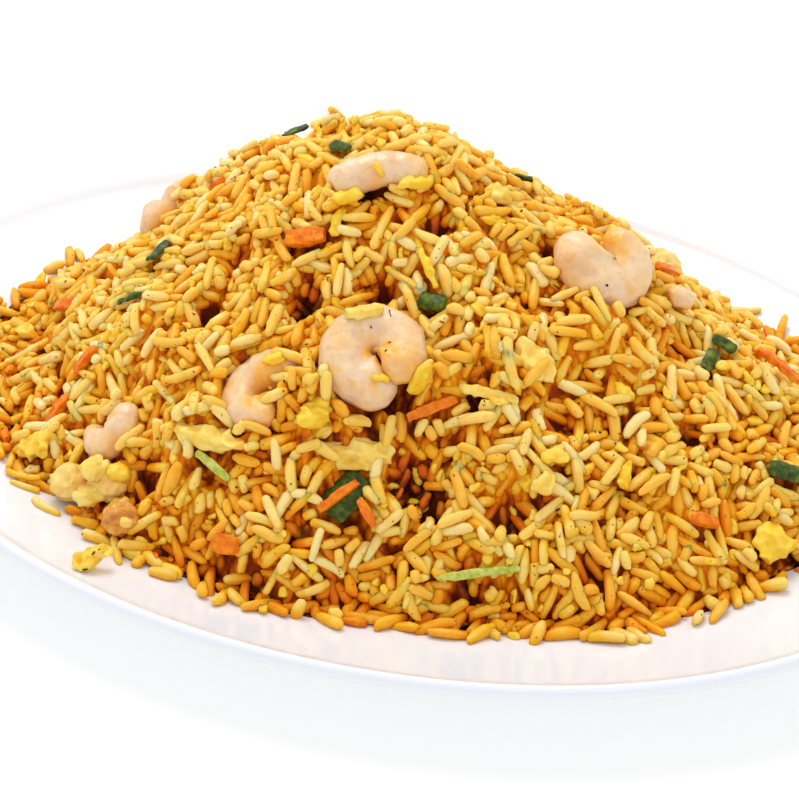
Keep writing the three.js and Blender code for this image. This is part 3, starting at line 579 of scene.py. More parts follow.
class Maps:
    """Heights over the table on an even grid: the platter, the heap, and what lies on it."""

    def __init__(self):
        low, high = node_box("rice")
        self.x = np.arange(low[0] - MARGIN, high[0] + MARGIN, CELL)
        self.y = np.arange(low[1] - MARGIN, high[1] + MARGIN, CELL)
        grid_x, grid_y = np.meshgrid(self.x, self.y, indexing="ij")
        self.plate = inside_height(rim_inset(grid_x, grid_y))
        form, self.inside = self.read_heap()
        self.heap = self.add_relief(form, grid_x, grid_y)
        self.slope_x, self.slope_y = np.gradient(form, CELL)
        self.steep = np.sqrt(1 + self.slope_x ** 2 + self.slope_y ** 2)
        self.sink_hollows()
        near = blur(self.inside.astype(float), STRAY_BAND / 2 / CELL)
        self.area = np.where(self.inside, self.steep, STRAY_WEIGHT * (near > STRAY_NEAR))
        base = np.maximum(self.heap - BASE_DEPTH * self.steep, self.plate)
        self.top = np.where(self.inside, base, self.plate)
        self.ceiling = np.full(self.top.shape, np.inf)
        self.topping = np.full(self.top.shape, -np.inf)
        self.keep_off = np.zeros(self.top.shape)
        self.cover = np.zeros(self.top.shape)

    def sink_hollows(self):
        """Opens the small dark hollows that the photo shows between the clumps."""
        whole = self.heap
        for place_x, place_y, radius, depth in HOLLOWS:
            x, y, _ = self.seen_at(place_x, place_y, self.heap)
            away = self.away_from(x, y) * PIXELS_PER_MM / (HOLLOW_WIDTH * radius)
            sunk = HOLLOW_DEPTH * depth * self.steep * np.exp(-away ** 3)
            self.heap = np.maximum(self.heap - sunk, self.plate)
        # How far each place sank, which darkens the grains there as painted shade.
        self.sunk = (whole - self.heap) / self.steep

    def away_from(self, x, y):
        return np.hypot(self.x[:, None] - x, self.y[None, :] - y)

    def seen_at(self, place_x, place_y, height):
        """The first place on a height map along the line of sight through a place in the photo."""
        back, right, up = camera_axes()
        middle = IMAGE_WIDTH_PX / 2
        ray = right * (place_x - middle) + up * (middle - place_y) - back * FOCAL_PX
        start = np.array(CAMERA_TARGET) + back * CAMERA_DISTANCE
        along = start + unit(ray) * np.arange(*RAY_STEPS)[:, None]
        below = along[:, 2] < height[self.cell(along[:, 0], along[:, 1])]
        return along[np.argmax(below)]

    def add_relief(self, form, grid_x, grid_y):
        """Deepens the heap's own relief, and cracks it here and there into clumps."""
        wide = self.fill(form, self.inside, WIDE_BLUR / CELL)
        flat = np.stack([grid_x, grid_y, np.zeros_like(grid_x)], -1)
        crack = np.exp(-(noise(flat, CRACK_SPACING, CRACK_SEED) / CRACK_WIDTH) ** 2)
        base, gain, spacing, seed = CRACKED
        broken = np.clip(base + gain * noise(flat, spacing * CRACK_SPACING, seed), 0, 1)
        deep = form + RELIEF_GAIN * np.minimum(form - wide, RELIEF_LIMIT) - CRACK_DEPTH * crack * broken
        for height, size, seed in LUMPS:
            deep = deep + height * noise(flat, size, seed)
        return np.where(self.inside, np.maximum(deep, self.plate), self.plate)

    def read_heap(self):
        """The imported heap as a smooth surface, with its pockets filled."""
        points, triangles = node_points("rice")
        tree = search_tree(points, triangles)
        probe_x, probe_y = self.x[::PROBE_CELLS], self.y[::PROBE_CELLS]
        height = np.full((len(probe_x), len(probe_y)), np.nan)
        for column, x in enumerate(probe_x):
            for row, y in enumerate(probe_y):
                hit = tree.ray_cast(Vector((x, y, SKY)), DOWN)[0]
                if hit is not None:
                    height[column, row] = hit.z
        inside = ~np.isnan(height)
        known = inside.copy()
        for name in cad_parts:
            if name not in ("rice", "platter"):
                low, high = node_box(name)
                known[np.ix_((probe_x > low[0] - 1) & (probe_x < high[0] + 1),
                             (probe_y > low[1] - 1) & (probe_y < high[1] + 1))] = False
        probe = PROBE_CELLS * CELL
        height = np.where(known, height, self.fill(height, known, FILL_BLUR / probe))
        smooth = self.fill(height, inside, FORM_BLUR / probe)
        covered = self.refine(inside.astype(float), probe_x, probe_y) > 0.5
        return np.where(covered, self.refine(smooth, probe_x, probe_y), self.plate), covered

    @staticmethod
    def fill(height, known, sigma):
        weight = blur(known.astype(float), sigma)
        total = blur(np.where(known, np.nan_to_num(height), 0), sigma)
        return total / np.maximum(weight, TINY)

    def refine(self, image, probe_x, probe_y):
        """Stretches a coarse grid over the fine one."""
        along_x = np.stack([np.interp(self.x, probe_x, image[:, row]) for row in range(image.shape[1])], 1)
        return np.stack([np.interp(self.y, probe_y, along_x[column]) for column in range(len(self.x))], 0)

    def settle_toppings(self):
        """Once all toppings are in, the heap rises round them to half their height."""
        covered = self.topping > -np.inf
        self.near_topping = blur(covered.astype(float), 1.0 / CELL)
        middle = (np.where(covered, self.topping, 0) + np.where(covered, self.ceiling, 0)) / 2
        near = blur(covered.astype(float), EMBED_BLUR / CELL)
        rise = blur(np.where(covered, middle - self.heap, 0), EMBED_BLUR / CELL) / np.maximum(near, TINY)
        rise = np.clip(rise, 0, EMBED_RISE) * np.clip(EMBED_GAIN * near, 0, 1)
        self.heap = np.where(self.inside, self.heap + rise, self.heap)
        self.top = np.where(self.inside, np.maximum(self.top, self.heap - BASE_DEPTH * self.steep), self.top)

    def settle_skin(self):
        """After the rain: the sticky mass that shows between the grains, and how deep all lies, which sets
        the painted shade.
        """
        flat = np.stack([*np.meshgrid(self.x, self.y, indexing="ij"), np.zeros_like(self.top)], -1)
        low, high = SKIN_DEPTH
        gain, size, seed = SKIN_NOISE
        depth = low + (high - low) * np.clip(0.5 + gain * noise(flat, size, seed), 0, 1)
        self.core = blur(self.top, SKIN_BLUR / CELL) - depth * self.steep
        self.skin = blur(self.top, SHADE_BLUR / CELL) + SHADE_LIFT * self.steep
        wide = blur(self.top, HOLLOW_BLUR / CELL)
        self.hollow = np.clip((wide - self.skin) / self.steep, 0, HOLLOW_LIMIT)

    def painted_depth_shade(self, points):
        """Painted shade: from 0 at the heap's outside to 1 deep in its gaps and hollows."""
        cell = self.cell(points[:, 0], points[:, 1])
        depth = (self.skin[cell] - points[:, 2]) / self.steep[cell] + HOLLOW_SHADE * self.hollow[cell]
        # Painted shade, darker towards the bottom of the heap.
        low = LOW_SHADE * np.clip(1 - points[:, 2] / LOW_HEIGHT, 0, 1)
        # Painted shade at the bottom of the sunk hollows.
        dark = DARK_SHARE * np.clip(self.sunk[cell] / DARK_DEPTH, 0, 1)
        return np.clip(depth / SHADE_DEPTH + low, 0, SHADED) + dark

    def cell(self, x, y):
        return (np.clip(np.round((x - self.x[0]) / CELL).astype(int), 0, len(self.x) - 1),
                np.clip(np.round((y - self.y[0]) / CELL).astype(int), 0, len(self.y) - 1))

    def add_topping(self, points, triangles, share):
        """Keeps grains out of a topping: its underside is a ceiling and its top is ground. No more
        than the given share of a grain may lie over it."""
        tree = search_tree(points, triangles)
        low, high = points.min(0), points.max(0)
        first, last = self.cell(*low[:2]), self.cell(*high[:2])
        for column in range(first[0], last[0] + 1):
            for row in range(first[1], last[1] + 1):
                place = (self.x[column], self.y[row])
                over = tree.ray_cast(Vector((*place, high[2] + CLEARANCE)), DOWN)[0]
                if over is None:
                    continue
                below = tree.ray_cast(Vector((*place, low[2] - CLEARANCE)), -DOWN)[0]
                self.topping[column, row] = max(self.topping[column, row], over.z)
                self.ceiling[column, row] = min(self.ceiling[column, row], below.z)
                self.keep_off[column, row] = 1 / share


# ---------------------------------------------------------------- dropping grains

class Grains:
    """What has come to rest on the heap: kind, middle, direction, half length and radius."""

    def __init__(self, maps, random):
        self.maps = maps
        self.random = random
        self.rows = {}
        self.weight = np.cumsum(maps.area.ravel())
        self.companions = []
        self.contact_share = CONTACT_SHARE

    def take(self, kind):
        """The middles, directions, half lengths and radii of one kind."""
        rows = np.array(self.rows[kind])
        return rows[:, 0:3], rows[:, 3:6], rows[:, 6], rows[:, 7]

    def draw(self, sizes):
        """A cell, place, direction, half length, radius and slope. Grains come in bundles."""
        maps, random = self.maps, self.random
        if self.companions:
            x, y, yaw = self.companions.pop()
            column, row = maps.cell(np.array(x), np.array(y))
        else:
            place = np.searchsorted(self.weight, random.random() * self.weight[-1])
            column, row = np.unravel_index(place, maps.area.shape)
            x = maps.x[column] + random.uniform(-CELL, CELL) / 2
            y = maps.y[row] + random.uniform(-CELL, CELL) / 2
            yaw = random.uniform(0, 2 * math.pi)
        size = sizes[-1] if random.random() < BROKEN_SHARE else sizes[0]
        half, radius = random.uniform(*size[0]), random.uniform(*size[1])
        slope = maps.slope_x[column, row] * math.cos(yaw) + maps.slope_y[column, row] * math.sin(yaw)
        return column, row, x, y, yaw, half, radius, slope

    def footprint(self, x, y, yaw, half, radius, pitch):
        """The cells under a grain, and how far its top and axis stand over its middle in each."""
        maps = self.maps
        reach = (half + radius) / CELL
        column = (x - maps.x[0]) / CELL
        row = (y - maps.y[0]) / CELL
        columns = slice(int(column - reach), int(column + reach) + 2)
        rows = slice(int(row - reach), int(row + reach) + 2)
        if columns.start < 0 or rows.start < 0 or columns.stop > len(maps.x) or rows.stop > len(maps.y):
            return None
        across_x = (np.arange(columns.start, columns.stop) - column)[:, None] * CELL
        across_y = (np.arange(rows.start, rows.stop) - row)[None, :] * CELL
        along = across_x * math.cos(yaw) + across_y * math.sin(yaw)
        aside = across_y * math.cos(yaw) - across_x * math.sin(yaw)
        slope = math.sqrt(1 + pitch * pitch)
        width = radius * np.sqrt(np.clip(1 - np.abs(along * slope / half) ** GRAIN_BLUNTNESS, 0, None))
        inside = np.abs(aside) < width
        if not inside.any():
            return None
        thick = np.sqrt(np.clip(width ** 2 - aside ** 2, 0, None)) * slope
        return columns, rows, inside, along * pitch, thick

    def keep(self, kind, x, y, height, yaw, half, radius, pitch):
        slope = math.sqrt(1 + pitch * pitch)
        direction = (math.cos(yaw) / slope, math.sin(yaw) / slope, pitch / slope)
        self.rows.setdefault(kind, []).append((x, y, height, *direction, half, radius))

    def rain(self, kind, count, spare, sizes, bundles=True):
        """Drops grains: each comes to rest on what lies below, or is taken away if it stands proud."""
        random = self.random
        kept, tries, last = 0, 0, 0
        while kept < count and tries < RAIN_ATTEMPTS and tries - last < PATIENCE:
            tries += 1
            place = self.draw(sizes)
            if not self.drop(kind, place, random.uniform(*spare)):
                continue
            kept, last = kept + 1, tries
            if bundles and not self.companions and random.random() < BUNDLE_SHARE:
                self.add_companions(*place[2:5], place[6])
        self.companions.clear()

    def drop(self, kind, place, spare):
        """Lets one grain come to rest, a little pressed in. False if it hangs or stands proud."""
        maps, random = self.maps, self.random
        column, row, x, y, yaw, half, radius, slope = place
        if maps.area[column, row] == 0:
            return False
        reach = END_SHARE * half * np.array([-1, 1])
        ends = maps.top[maps.cell(x + reach * math.cos(yaw), y + reach * math.sin(yaw))]
        lean = (ends[1] - ends[0]) / (2 * END_SHARE * half) - slope
        lean = float(np.clip(lean, -MOST_LEAN, MOST_LEAN))
        lean += random.normal(0, LOOSE_LEAN if random.random() < LOOSE_SHARE else USUAL_LEAN)
        pitch = float(np.clip(slope + lean, -MOST_PITCH, MOST_PITCH))
        spot = self.footprint(x, y, yaw, half, radius, pitch)
        if spot is None:
            return False
        columns, rows, inside, rise, thick = spot
        if np.mean(maps.keep_off[columns, rows][inside]) > 1:
            return False
        ground = maps.top[columns, rows]
        topping = np.where(inside, maps.topping[columns, rows], -np.inf)
        if np.count_nonzero(topping > -np.inf) > BESIDE_SHARE * np.count_nonzero(inside):
            ground = np.maximum(ground, topping)
        contact = np.sort((ground - rise + thick)[inside])
        height = contact[int(self.contact_share * (len(contact) - 1))] - SOFTNESS
        under = height + rise - thick - ground
        if np.mean(under[inside]) > HANGING_GAP * maps.steep[column, row] ** 0.5:
            return False
        top = height + rise + thick
        proud = np.max((top - maps.heap[columns, rows] - maps.cover[columns, rows])[inside])
        on_plate = height < maps.plate[column, row] + radius + PLATE_GAP
        if proud > spare * min(maps.steep[column, row], STEEP_LIMIT) and not on_plate:
            return False
        np.copyto(maps.top[columns, rows], np.maximum(ground, top), where=inside)
        self.keep(kind, x, y, height, yaw, half, radius, pitch)
        return True

    def fill_bald(self, kind, rounds, each, depth, spare):
        """Drops more grains where the heap still lies deep under its surface."""
        maps = self.maps
        whole = self.weight
        self.contact_share = FILL_SHARE
        for _ in range(rounds):
            low = maps.heap - maps.top > depth * maps.steep
            bald = blur(low.astype(float), BALD_BLUR) > BALD_SHARE
            self.weight = np.cumsum((maps.area * maps.inside * bald).ravel())
            self.rain(kind, each, spare, GRAIN_SIZES)
        self.contact_share = CONTACT_SHARE
        self.weight = whole

    def dust(self, kind, place, radius, rise, count):
        """Drops grains round one place, where they may climb over a topping."""
        maps = self.maps
        away = maps.away_from(place[0], place[1]) / radius
        whole = self.weight
        self.weight = np.cumsum((maps.area * np.exp(-away ** 2) * (away < DUST_REACH)).ravel())
        maps.cover += rise * np.exp(-(away / DUST_WIDTH) ** 4)
        filled = maps.heap + maps.cover - FILLED_DEPTH * maps.steep
        maps.top = np.where(maps.inside & (away < DUST_FILL), np.maximum(maps.top, filled), maps.top)
        self.rain(kind, count, DUST_SPARE, GRAIN_SIZES, False)
        self.weight = whole

    def place_seen(self, kind, start_x, start_y, end_x, end_y, width):
        """Lays one piece on the surface between two places in the photo."""
        maps = self.maps
        ground = np.maximum(maps.top, maps.topping)
        start = maps.seen_at(start_x, start_y, ground)
        end = maps.seen_at(end_x, end_y, ground)
        away = end - start
        radius = width / 2 / PIXELS_PER_MM
        longest = SEEN_LENGTH * math.hypot(end_x - start_x, end_y - start_y) / PIXELS_PER_MM
        half = float(np.clip(np.linalg.norm(away) / 2, radius, max(radius, longest)))
        half = min(half, SEEN_RADII * radius)
        flat = math.hypot(away[0], away[1])
        pitch = float(np.clip(away[2] / max(flat, CELL), -MOST_PITCH, MOST_PITCH))
        yaw = math.atan2(away[1], away[0])
        x, y, _ = (start + end) / 2
        spot = self.footprint(x, y, yaw, half, radius, pitch)
        if spot is None:
            return
        columns, rows, inside, rise, thick = spot
        contact = np.sort((ground[columns, rows] - rise + thick)[inside])
        height = contact[len(contact) // 2] - SEEN_SINK * radius
        top = np.maximum(maps.top[columns, rows], height + rise + thick)
        np.copyto(maps.top[columns, rows], top, where=inside)
        self.keep(kind, x, y, height, yaw, half, radius, pitch)

    def add_companions(self, x, y, yaw, radius):
        """One to three more grains that stick beside the last, nearly in line with it."""
        random = self.random
        way = random.choice([-1, 1])
        for place in range(random.integers(1, 4)):
            aside = way * (place + 1) * BUNDLE_GAP * radius
            along = random.normal(0, BUNDLE_SLIP)
            beside_x = x + along * math.cos(yaw) - aside * math.sin(yaw)
            beside_y = y + along * math.sin(yaw) + aside * math.cos(yaw)
            self.companions.append((beside_x, beside_y, yaw + random.normal(0, BUNDLE_TURN)))


def grain_template():
    """Places along a grain from -1 to 1, the share of the width at each, and the faces."""
    near_end = np.array(GRAIN_RINGS)
    along = np.concatenate([-near_end[::-1], near_end])
    width = np.sqrt(1 - np.abs(along) ** GRAIN_BLUNTNESS)
    side, ahead = ring_steps(GRAIN_SIDES)
    count = len(along) * GRAIN_SIDES
    caps = np.concatenate([fan(count, ahead, side),
                           fan(count + 1, count - GRAIN_SIDES + side, count - GRAIN_SIDES + ahead)])
    return along, width, grid_faces(len(along), GRAIN_SIDES), caps


def grain_meshes(middle, direction, half, radius, random):
    """All the grains as one array of points, with faces and the share along each grain."""
    ring_along, ring_width, body, caps = grain_template()
    count = len(middle)
    direction = unit(direction)
    side = unit(np.cross(direction, unit(random.normal(size=(count, 3)))))
    up = np.cross(direction, side)
    taper = random.uniform(-GRAIN_TAPER, GRAIN_TAPER, count)
    bend = random.uniform(-GRAIN_BEND, GRAIN_BEND, count)
    flat = random.uniform(*GRAIN_FLAT, count)
    slant = random.uniform(-GRAIN_SLANT, GRAIN_SLANT, count)
    angle = np.linspace(0, 2 * np.pi, GRAIN_SIDES, endpoint=False)
    waves, phase = (random.uniform(*bounds, (count, 1)) for bounds in GRAIN_WAVES)
    wave = ring_along[None, :] * waves + phase
    wide = radius[:, None] * ring_width[None, :] * (1 + taper[:, None] * ring_along[None, :])
    wide = wide * (1 + GRAIN_KNOBS * np.sin(wave))
    spine = middle[:, None, :] + direction[:, None, :] * (half[:, None] * ring_along[None, :])[..., None]
    bow = (half * bend)[:, None] * (1 - 2 * ring_along[None, :] ** 2)
    spine = spine + side[:, None, :] * bow[..., None]
    out = (side[:, None, None, :] * np.cos(angle)[None, None, :, None]
           + up[:, None, None, :] * (np.sin(angle)[None, None, :] * flat[:, None, None])[..., None])
    knobs = 1 + GRAIN_KNOBS * random.normal(size=(count, len(ring_along), GRAIN_SIDES, 1))
    points = spine[:, :, None, :] + out * wide[:, :, None, None] * knobs
    cut = slant[:, None, None] * np.cos(angle)[None, None, :] * (wide * ring_along[None, :] ** 4)[..., None]
    points = points + direction[:, None, None, :] * cut[..., None]
    tips = middle[:, None, :] + direction[:, None, :] * (half[:, None] * np.array([-1.0, 1.0]))[..., None]
    tips = tips - side[:, None, :] * (half * bend)[:, None, None]
    points = np.concatenate([points.reshape(count, -1, 3), tips], 1)
    each = points.shape[1]
    shift = (np.arange(count) * each)[:, None, None]
    ends = np.concatenate([np.repeat(np.abs(ring_along) ** 3, GRAIN_SIDES), [1.0, 1.0]])
    faces = [(body[None] + shift).reshape(-1, 4), (caps[None] + shift).reshape(-1, 3)]
    return points.reshape(-1, 3), faces, np.tile(ends, count), each


# Painted shade: colours from the outside of the heap to the bottom of its gaps and, last, of its dark
# hollows, as lit and shaded copies of each kind's colour.
STOP_PLACES = (0.0, 0.25, 0.5, 0.77, 1.0)
CORE_PLACES = (0.0, 0.27, 0.54, 0.77, 1.0)
DEEPEST_SHADE = (92, 34, 2)
GRAIN_KINDS = {
    "rice_cream": ((253, 221, 148), (251, 196, 66), (246, 164, 14), (226, 112, 4), DEEPEST_SHADE),
    "rice_yellow": ((252, 211, 112), (250, 184, 36), (242, 150, 8), (220, 106, 2), DEEPEST_SHADE),
    "rice_golden": ((251, 205, 104), (247, 176, 30), (238, 140, 6), (214, 97, 1), DEEPEST_SHADE),
    "rice_amber": ((249, 191, 76), (243, 161, 22), (230, 126, 4), (204, 88, 1), DEEPEST_SHADE),
}
# The core's colours: lit at the outside, then painted shade down to the deepest gaps and hollows.
CORE_COLOURS = ((250, 196, 60), (244, 160, 14), (222, 112, 2), (150, 56, 0), DEEPEST_SHADE)
SHADE_PATCHES = (0.3, 16, 5)


def make_grains(maps, grains, random):
    """The grains in four kinds, from the palest to the darkest, in patches."""
    rows = grains.take("rice")
    gain, size, seed = SHADE_PATCHES
    shade = random.random(len(rows[0])) + gain * noise(rows[0], size, seed)
    parts = np.array_split(np.argsort(shade), len(GRAIN_KINDS))
    for (name, colours), part in zip(GRAIN_KINDS.items(), parts):
        points, faces, ends, each = grain_meshes(*(column[part] for column in rows), random)
        tone = np.repeat(random.uniform(-GRAIN_TONE, GRAIN_TONE, len(part)), each)
        # Painted shade by depth under the heap's outside, with a random tone per grain and a darker tone at
        # the tips.
        deep = maps.painted_depth_shade(points) + tone + TIP_TONE * ends
        material = grain_material(name + "_grain", list(zip(STOP_PLACES, colours)))
        mesh_object(name, points, faces, material, (), {"deep": deep})


# ---------------------------------------------------------------- egg, specks and flecks

# Creases: the height between them, their depth, and the finer grain's height, size and seed.
LUMP_CREASES = (0.7, 2.4, 0.5, 2.3, 1)
SKIN_CREASES = (0.5, 2.4, 0.4, 2.5, 50)
# How boxy a lump is, from 1 for a ball, and how far its sides lean.
LUMP_ROUND = 0.8
LUMP_LEAN = 0.3


def creases(points, size, seed, base, fold, fine, finer, shift):
    folded = base - fold * np.abs(noise(points, size, seed))
    return folded + fine * noise(points, size / finer, seed + shift)


def blob_meshes(middle, axes, size, rough, rough_size, seed, rings=10, sides=14):
    """Rough balls stretched along their own axes: points and faces of all of them."""
    turn = np.linspace(0, 2 * np.pi, sides, endpoint=False)
    lean = np.linspace(0, np.pi, rings + 2)[1:-1]
    ball = np.stack([np.outer(np.sin(lean), np.cos(turn)), np.outer(np.sin(lean), np.sin(turn)),
                     np.outer(np.cos(lean), np.ones(sides))], -1).reshape(-1, 3)
    ball = np.concatenate([ball, [[0, 0, 1], [0, 0, -1]]])
    count = len(middle)
    local = np.sign(ball) * np.abs(ball) ** LUMP_ROUND
    local = local[None] * size[:, None, :] / 2
    points = middle[:, None, :] + np.einsum("nki,nij->nkj", local, axes)
    out = unit(points - middle[:, None, :])
    bumps = creases(points, rough_size, seed, *LUMP_CREASES)
    points = points + out * (rough * bumps)[..., None] * size.mean(1)[:, None, None]
    side, ahead = ring_steps(sides)
    last = rings * sides
    caps = np.concatenate([fan(last, side, ahead), fan(last + 1, last - sides + ahead, last - sides + side)])
    shift = (np.arange(count) * len(ball))[:, None, None]
    body = grid_faces(rings, sides)[:, ::-1]
    return points.reshape(-1, 3), [(body[None] + shift).reshape(-1, 4), (caps[None] + shift).reshape(-1, 3)]


def add_clots(grains, random, kind, node_slot, material, shape, seed, rings=10, sides=14):
    """Rough lumps where the rain of their kind came to rest. Their shape is the width and height
    in diameters, and the roughness and its size."""
    width, height, rough, rough_size = shape
    middle, along, half, radius = grains.take(kind)
    along = unit(along)
    across = unit(np.cross([0.0, 0.0, 1.0], along) + random.normal(0, LUMP_LEAN, along.shape))
    across = unit(across - along * np.sum(along * across, -1, keepdims=True))
    axes = np.stack([along, across, np.cross(along, across)], 1)
    size = np.stack([2 * half, 2 * radius * width, 2 * radius * height], -1)
    points, faces = blob_meshes(middle, axes, size, rough, rough_size, seed, rings, sides)
    mesh_object(kind, points, faces, material)


SPECK_CLEARANCE = 0.05
SPECK_SMALLNESS = 1.6
SPECK_LEAN = 0.3
SPECK_ROUGHNESS = (0.25, 0.5)
SPECK_MESH = (4, 6)


def scatter_specks(maps, random, name, material, count, size, seed):
    """Specks strewn on the grains away from the toppings, each lying along the slope."""
    weight = np.cumsum((maps.area * maps.inside * (maps.near_topping < SPECK_CLEARANCE)).ravel())
    picks = np.searchsorted(weight, random.random(count) * weight[-1])
    column, row = np.unravel_index(picks, maps.area.shape)
    low, high = np.array(size)
    sizes = low + (high - low) * random.random((count, 3)) ** SPECK_SMALLNESS
    normal = unit(np.stack([-maps.slope_x[column, row], -maps.slope_y[column, row], np.ones(count)], -1))
    normal = unit(normal + random.normal(0, SPECK_LEAN, (count, 3)))
    along = unit(np.cross(normal, random.normal(size=(count, 3))))
    axes = np.stack([along, np.cross(normal, along), normal], 1)
    middle = np.stack([maps.x[column], maps.y[row], maps.top[column, row]], -1)
    points, faces = blob_meshes(middle, axes, sizes, *SPECK_ROUGHNESS, seed, *SPECK_MESH)
    mesh_object(name, points, faces, material)


CORE_SPOKES = 380
CORE_RINGS = 96
CORE_REACH = (1, 150, 0.5)
CORE_INSET = 1.0
CORE_LUMPS = ((0.8, 3.2, 31), (1.1, 1.8, 32))
# Gaps: under the toppings, over the platter, and between the core's underside and its edge.
TOPPING_GAP = 0.3
UNDER_GAP = 0.1
EDGE_GAP = 0.15


def make_core(maps):
    """The sticky mass between the grains: a closed lumpy body out to the heap's foot."""
    angle = np.linspace(0, 2 * np.pi, CORE_SPOKES, endpoint=False)
    reach = np.zeros(CORE_SPOKES)
    for step in np.arange(*CORE_REACH):
        column, row = maps.cell(HEAP_PEAK[0] + step * np.cos(angle), HEAP_PEAK[1] + step * np.sin(angle))
        reach = np.where(maps.inside[column, row], step, reach)
    reach -= CORE_INSET
    share = np.linspace(1 / CORE_RINGS, 1, CORE_RINGS)[:, None]
    x = HEAP_PEAK[0] + share * reach * np.cos(angle)
    y = HEAP_PEAK[1] + share * reach * np.sin(angle)
    column, row = maps.cell(x, y)
    flat = np.stack([x, y, np.zeros_like(x)], -1)
    (high, wide, seed), (fold, fold_size, fold_seed) = CORE_LUMPS
    lumps = high * noise(flat, wide, seed) + fold * np.abs(noise(flat, fold_size, fold_seed))
    height = np.minimum(maps.core[column, row] + lumps, maps.ceiling[column, row] - TOPPING_GAP)
    plate = inside_height(rim_inset(x, y)) + UNDER_GAP
    height = np.maximum(height, plate + EDGE_GAP)
    height[-1] = plate[-1]
    upper = np.stack([x, y, height], -1).reshape(-1, 3)
    foot = np.stack([x, y, plate], -1)[[CORE_RINGS // 3, 2 * CORE_RINGS // 3]].reshape(-1, 3)
    middle = maps.cell(np.array(HEAP_PEAK[0]), np.array(HEAP_PEAK[1]))
    ends = [[*HEAP_PEAK, maps.core[middle]], [*HEAP_PEAK, WELL_HEIGHT + UNDER_GAP]]
    points = np.concatenate([upper, foot, ends])
    count = CORE_RINGS * CORE_SPOKES
    step, ahead = ring_steps(CORE_SPOKES)
    rim, outer = count - CORE_SPOKES, count + CORE_SPOKES
    join = np.stack([rim + step, rim + ahead, outer + ahead, outer + step], -1)
    lower = np.stack([outer + step, outer + ahead, count + ahead, count + step], -1)
    peak = fan(len(points) - 2, step, ahead)
    under = fan(len(points) - 1, count + ahead, count + step)
    faces = [grid_faces(CORE_RINGS, CORE_SPOKES)[:, ::-1], join[:, ::-1], lower[:, ::-1], peak, under]
    # Its colour takes painted shade from how deep each point lies.
    mesh_object("rice_core", points, faces, core_material(), ["rice"],
                {"deep": maps.painted_depth_shade(points)})


# ---------------------------------------------------------------- toppings

# Peeled shrimps, as in the solids: turn from downhill and tilt in degrees, then the spiral.
SHRIMPS = {
    "shrimp_front": dict(turn=0, tilt=0, size=27.2, thick=12.6, tail=11.4, start=27, sweep=-332, curl=0.2,
                         lap=2.8, belly=0.25),
    "shrimp_left": dict(turn=0, tilt=8, size=24.6, thick=11.4, tail=9, start=132, sweep=276, curl=0.08),
    "shrimp_peak": dict(turn=0, tilt=-6, size=50, thick=9.6, tail=9, start=217, sweep=-66, curl=0.02),
    "shrimp_right": dict(turn=0, tilt=0, size=28.2, thick=13.6, tail=8.4, start=190, sweep=306, curl=0.28,
                         belly=0.6),
    "shrimp_low_left": dict(turn=0, tilt=12, size=19, thick=9.2, tail=7.6, start=168, sweep=-228, curl=0.1),
    "shrimp_back": dict(turn=60, tilt=0, size=24.6, thick=11, tail=8.8, start=30, sweep=285, curl=0.1),
    "shrimp_back_left": dict(turn=120, tilt=8, size=23.4, thick=10, tail=8, start=0, sweep=-220, curl=0.1),
}
SHRIMP_STEPS = 120
SHRIMP_SIDES = 36
SHRIMP_SEGMENTS = 6
SHRIMP_BLUNT_SHARE = 0.14
SHRIMP_END = 0.03
SHRIMP_PAST = 0.03
SHRIMP_STEP = (0.84, 0.16)
SHRIMP_TIP = 0.03
SHRIMP_ROUGHNESS = (0.3, 4)
# The ridges' base, depth and share on the belly; the groove's depth, place and width.
SHRIMP_RIDGES = (0.985, 0.055, 0.35)
SHRIMP_GROOVE = (0.28, 0.35, 0.012)
SHRIMP_HOLLOW = 0.1
SHRIMP_HEIGHT = 0.86
SHRIMP_ROUND = 0.9
# Along the body, each with where it starts and its run: the tail's folds, with their depth and
# number before those, the climb over the head, with the most of it after those, and the stain.
TAIL_FAN = (0.02, 160, 0.8, 0.1)
LAP_CLIMB = (0.6, 0.4, 1.2)
TAIL_STAIN = (0.55, 0.72, 0.28)
# A band's place and width in its segment, and its share on the belly.
BAND = (0.8, 0.17, 0.2)
STAIN_HEIGHT = 0.35
STAIN_FALL = 1.5
END_BANDS = (0.2, 0.6)
END_STAINS = (0.4, 0.9)


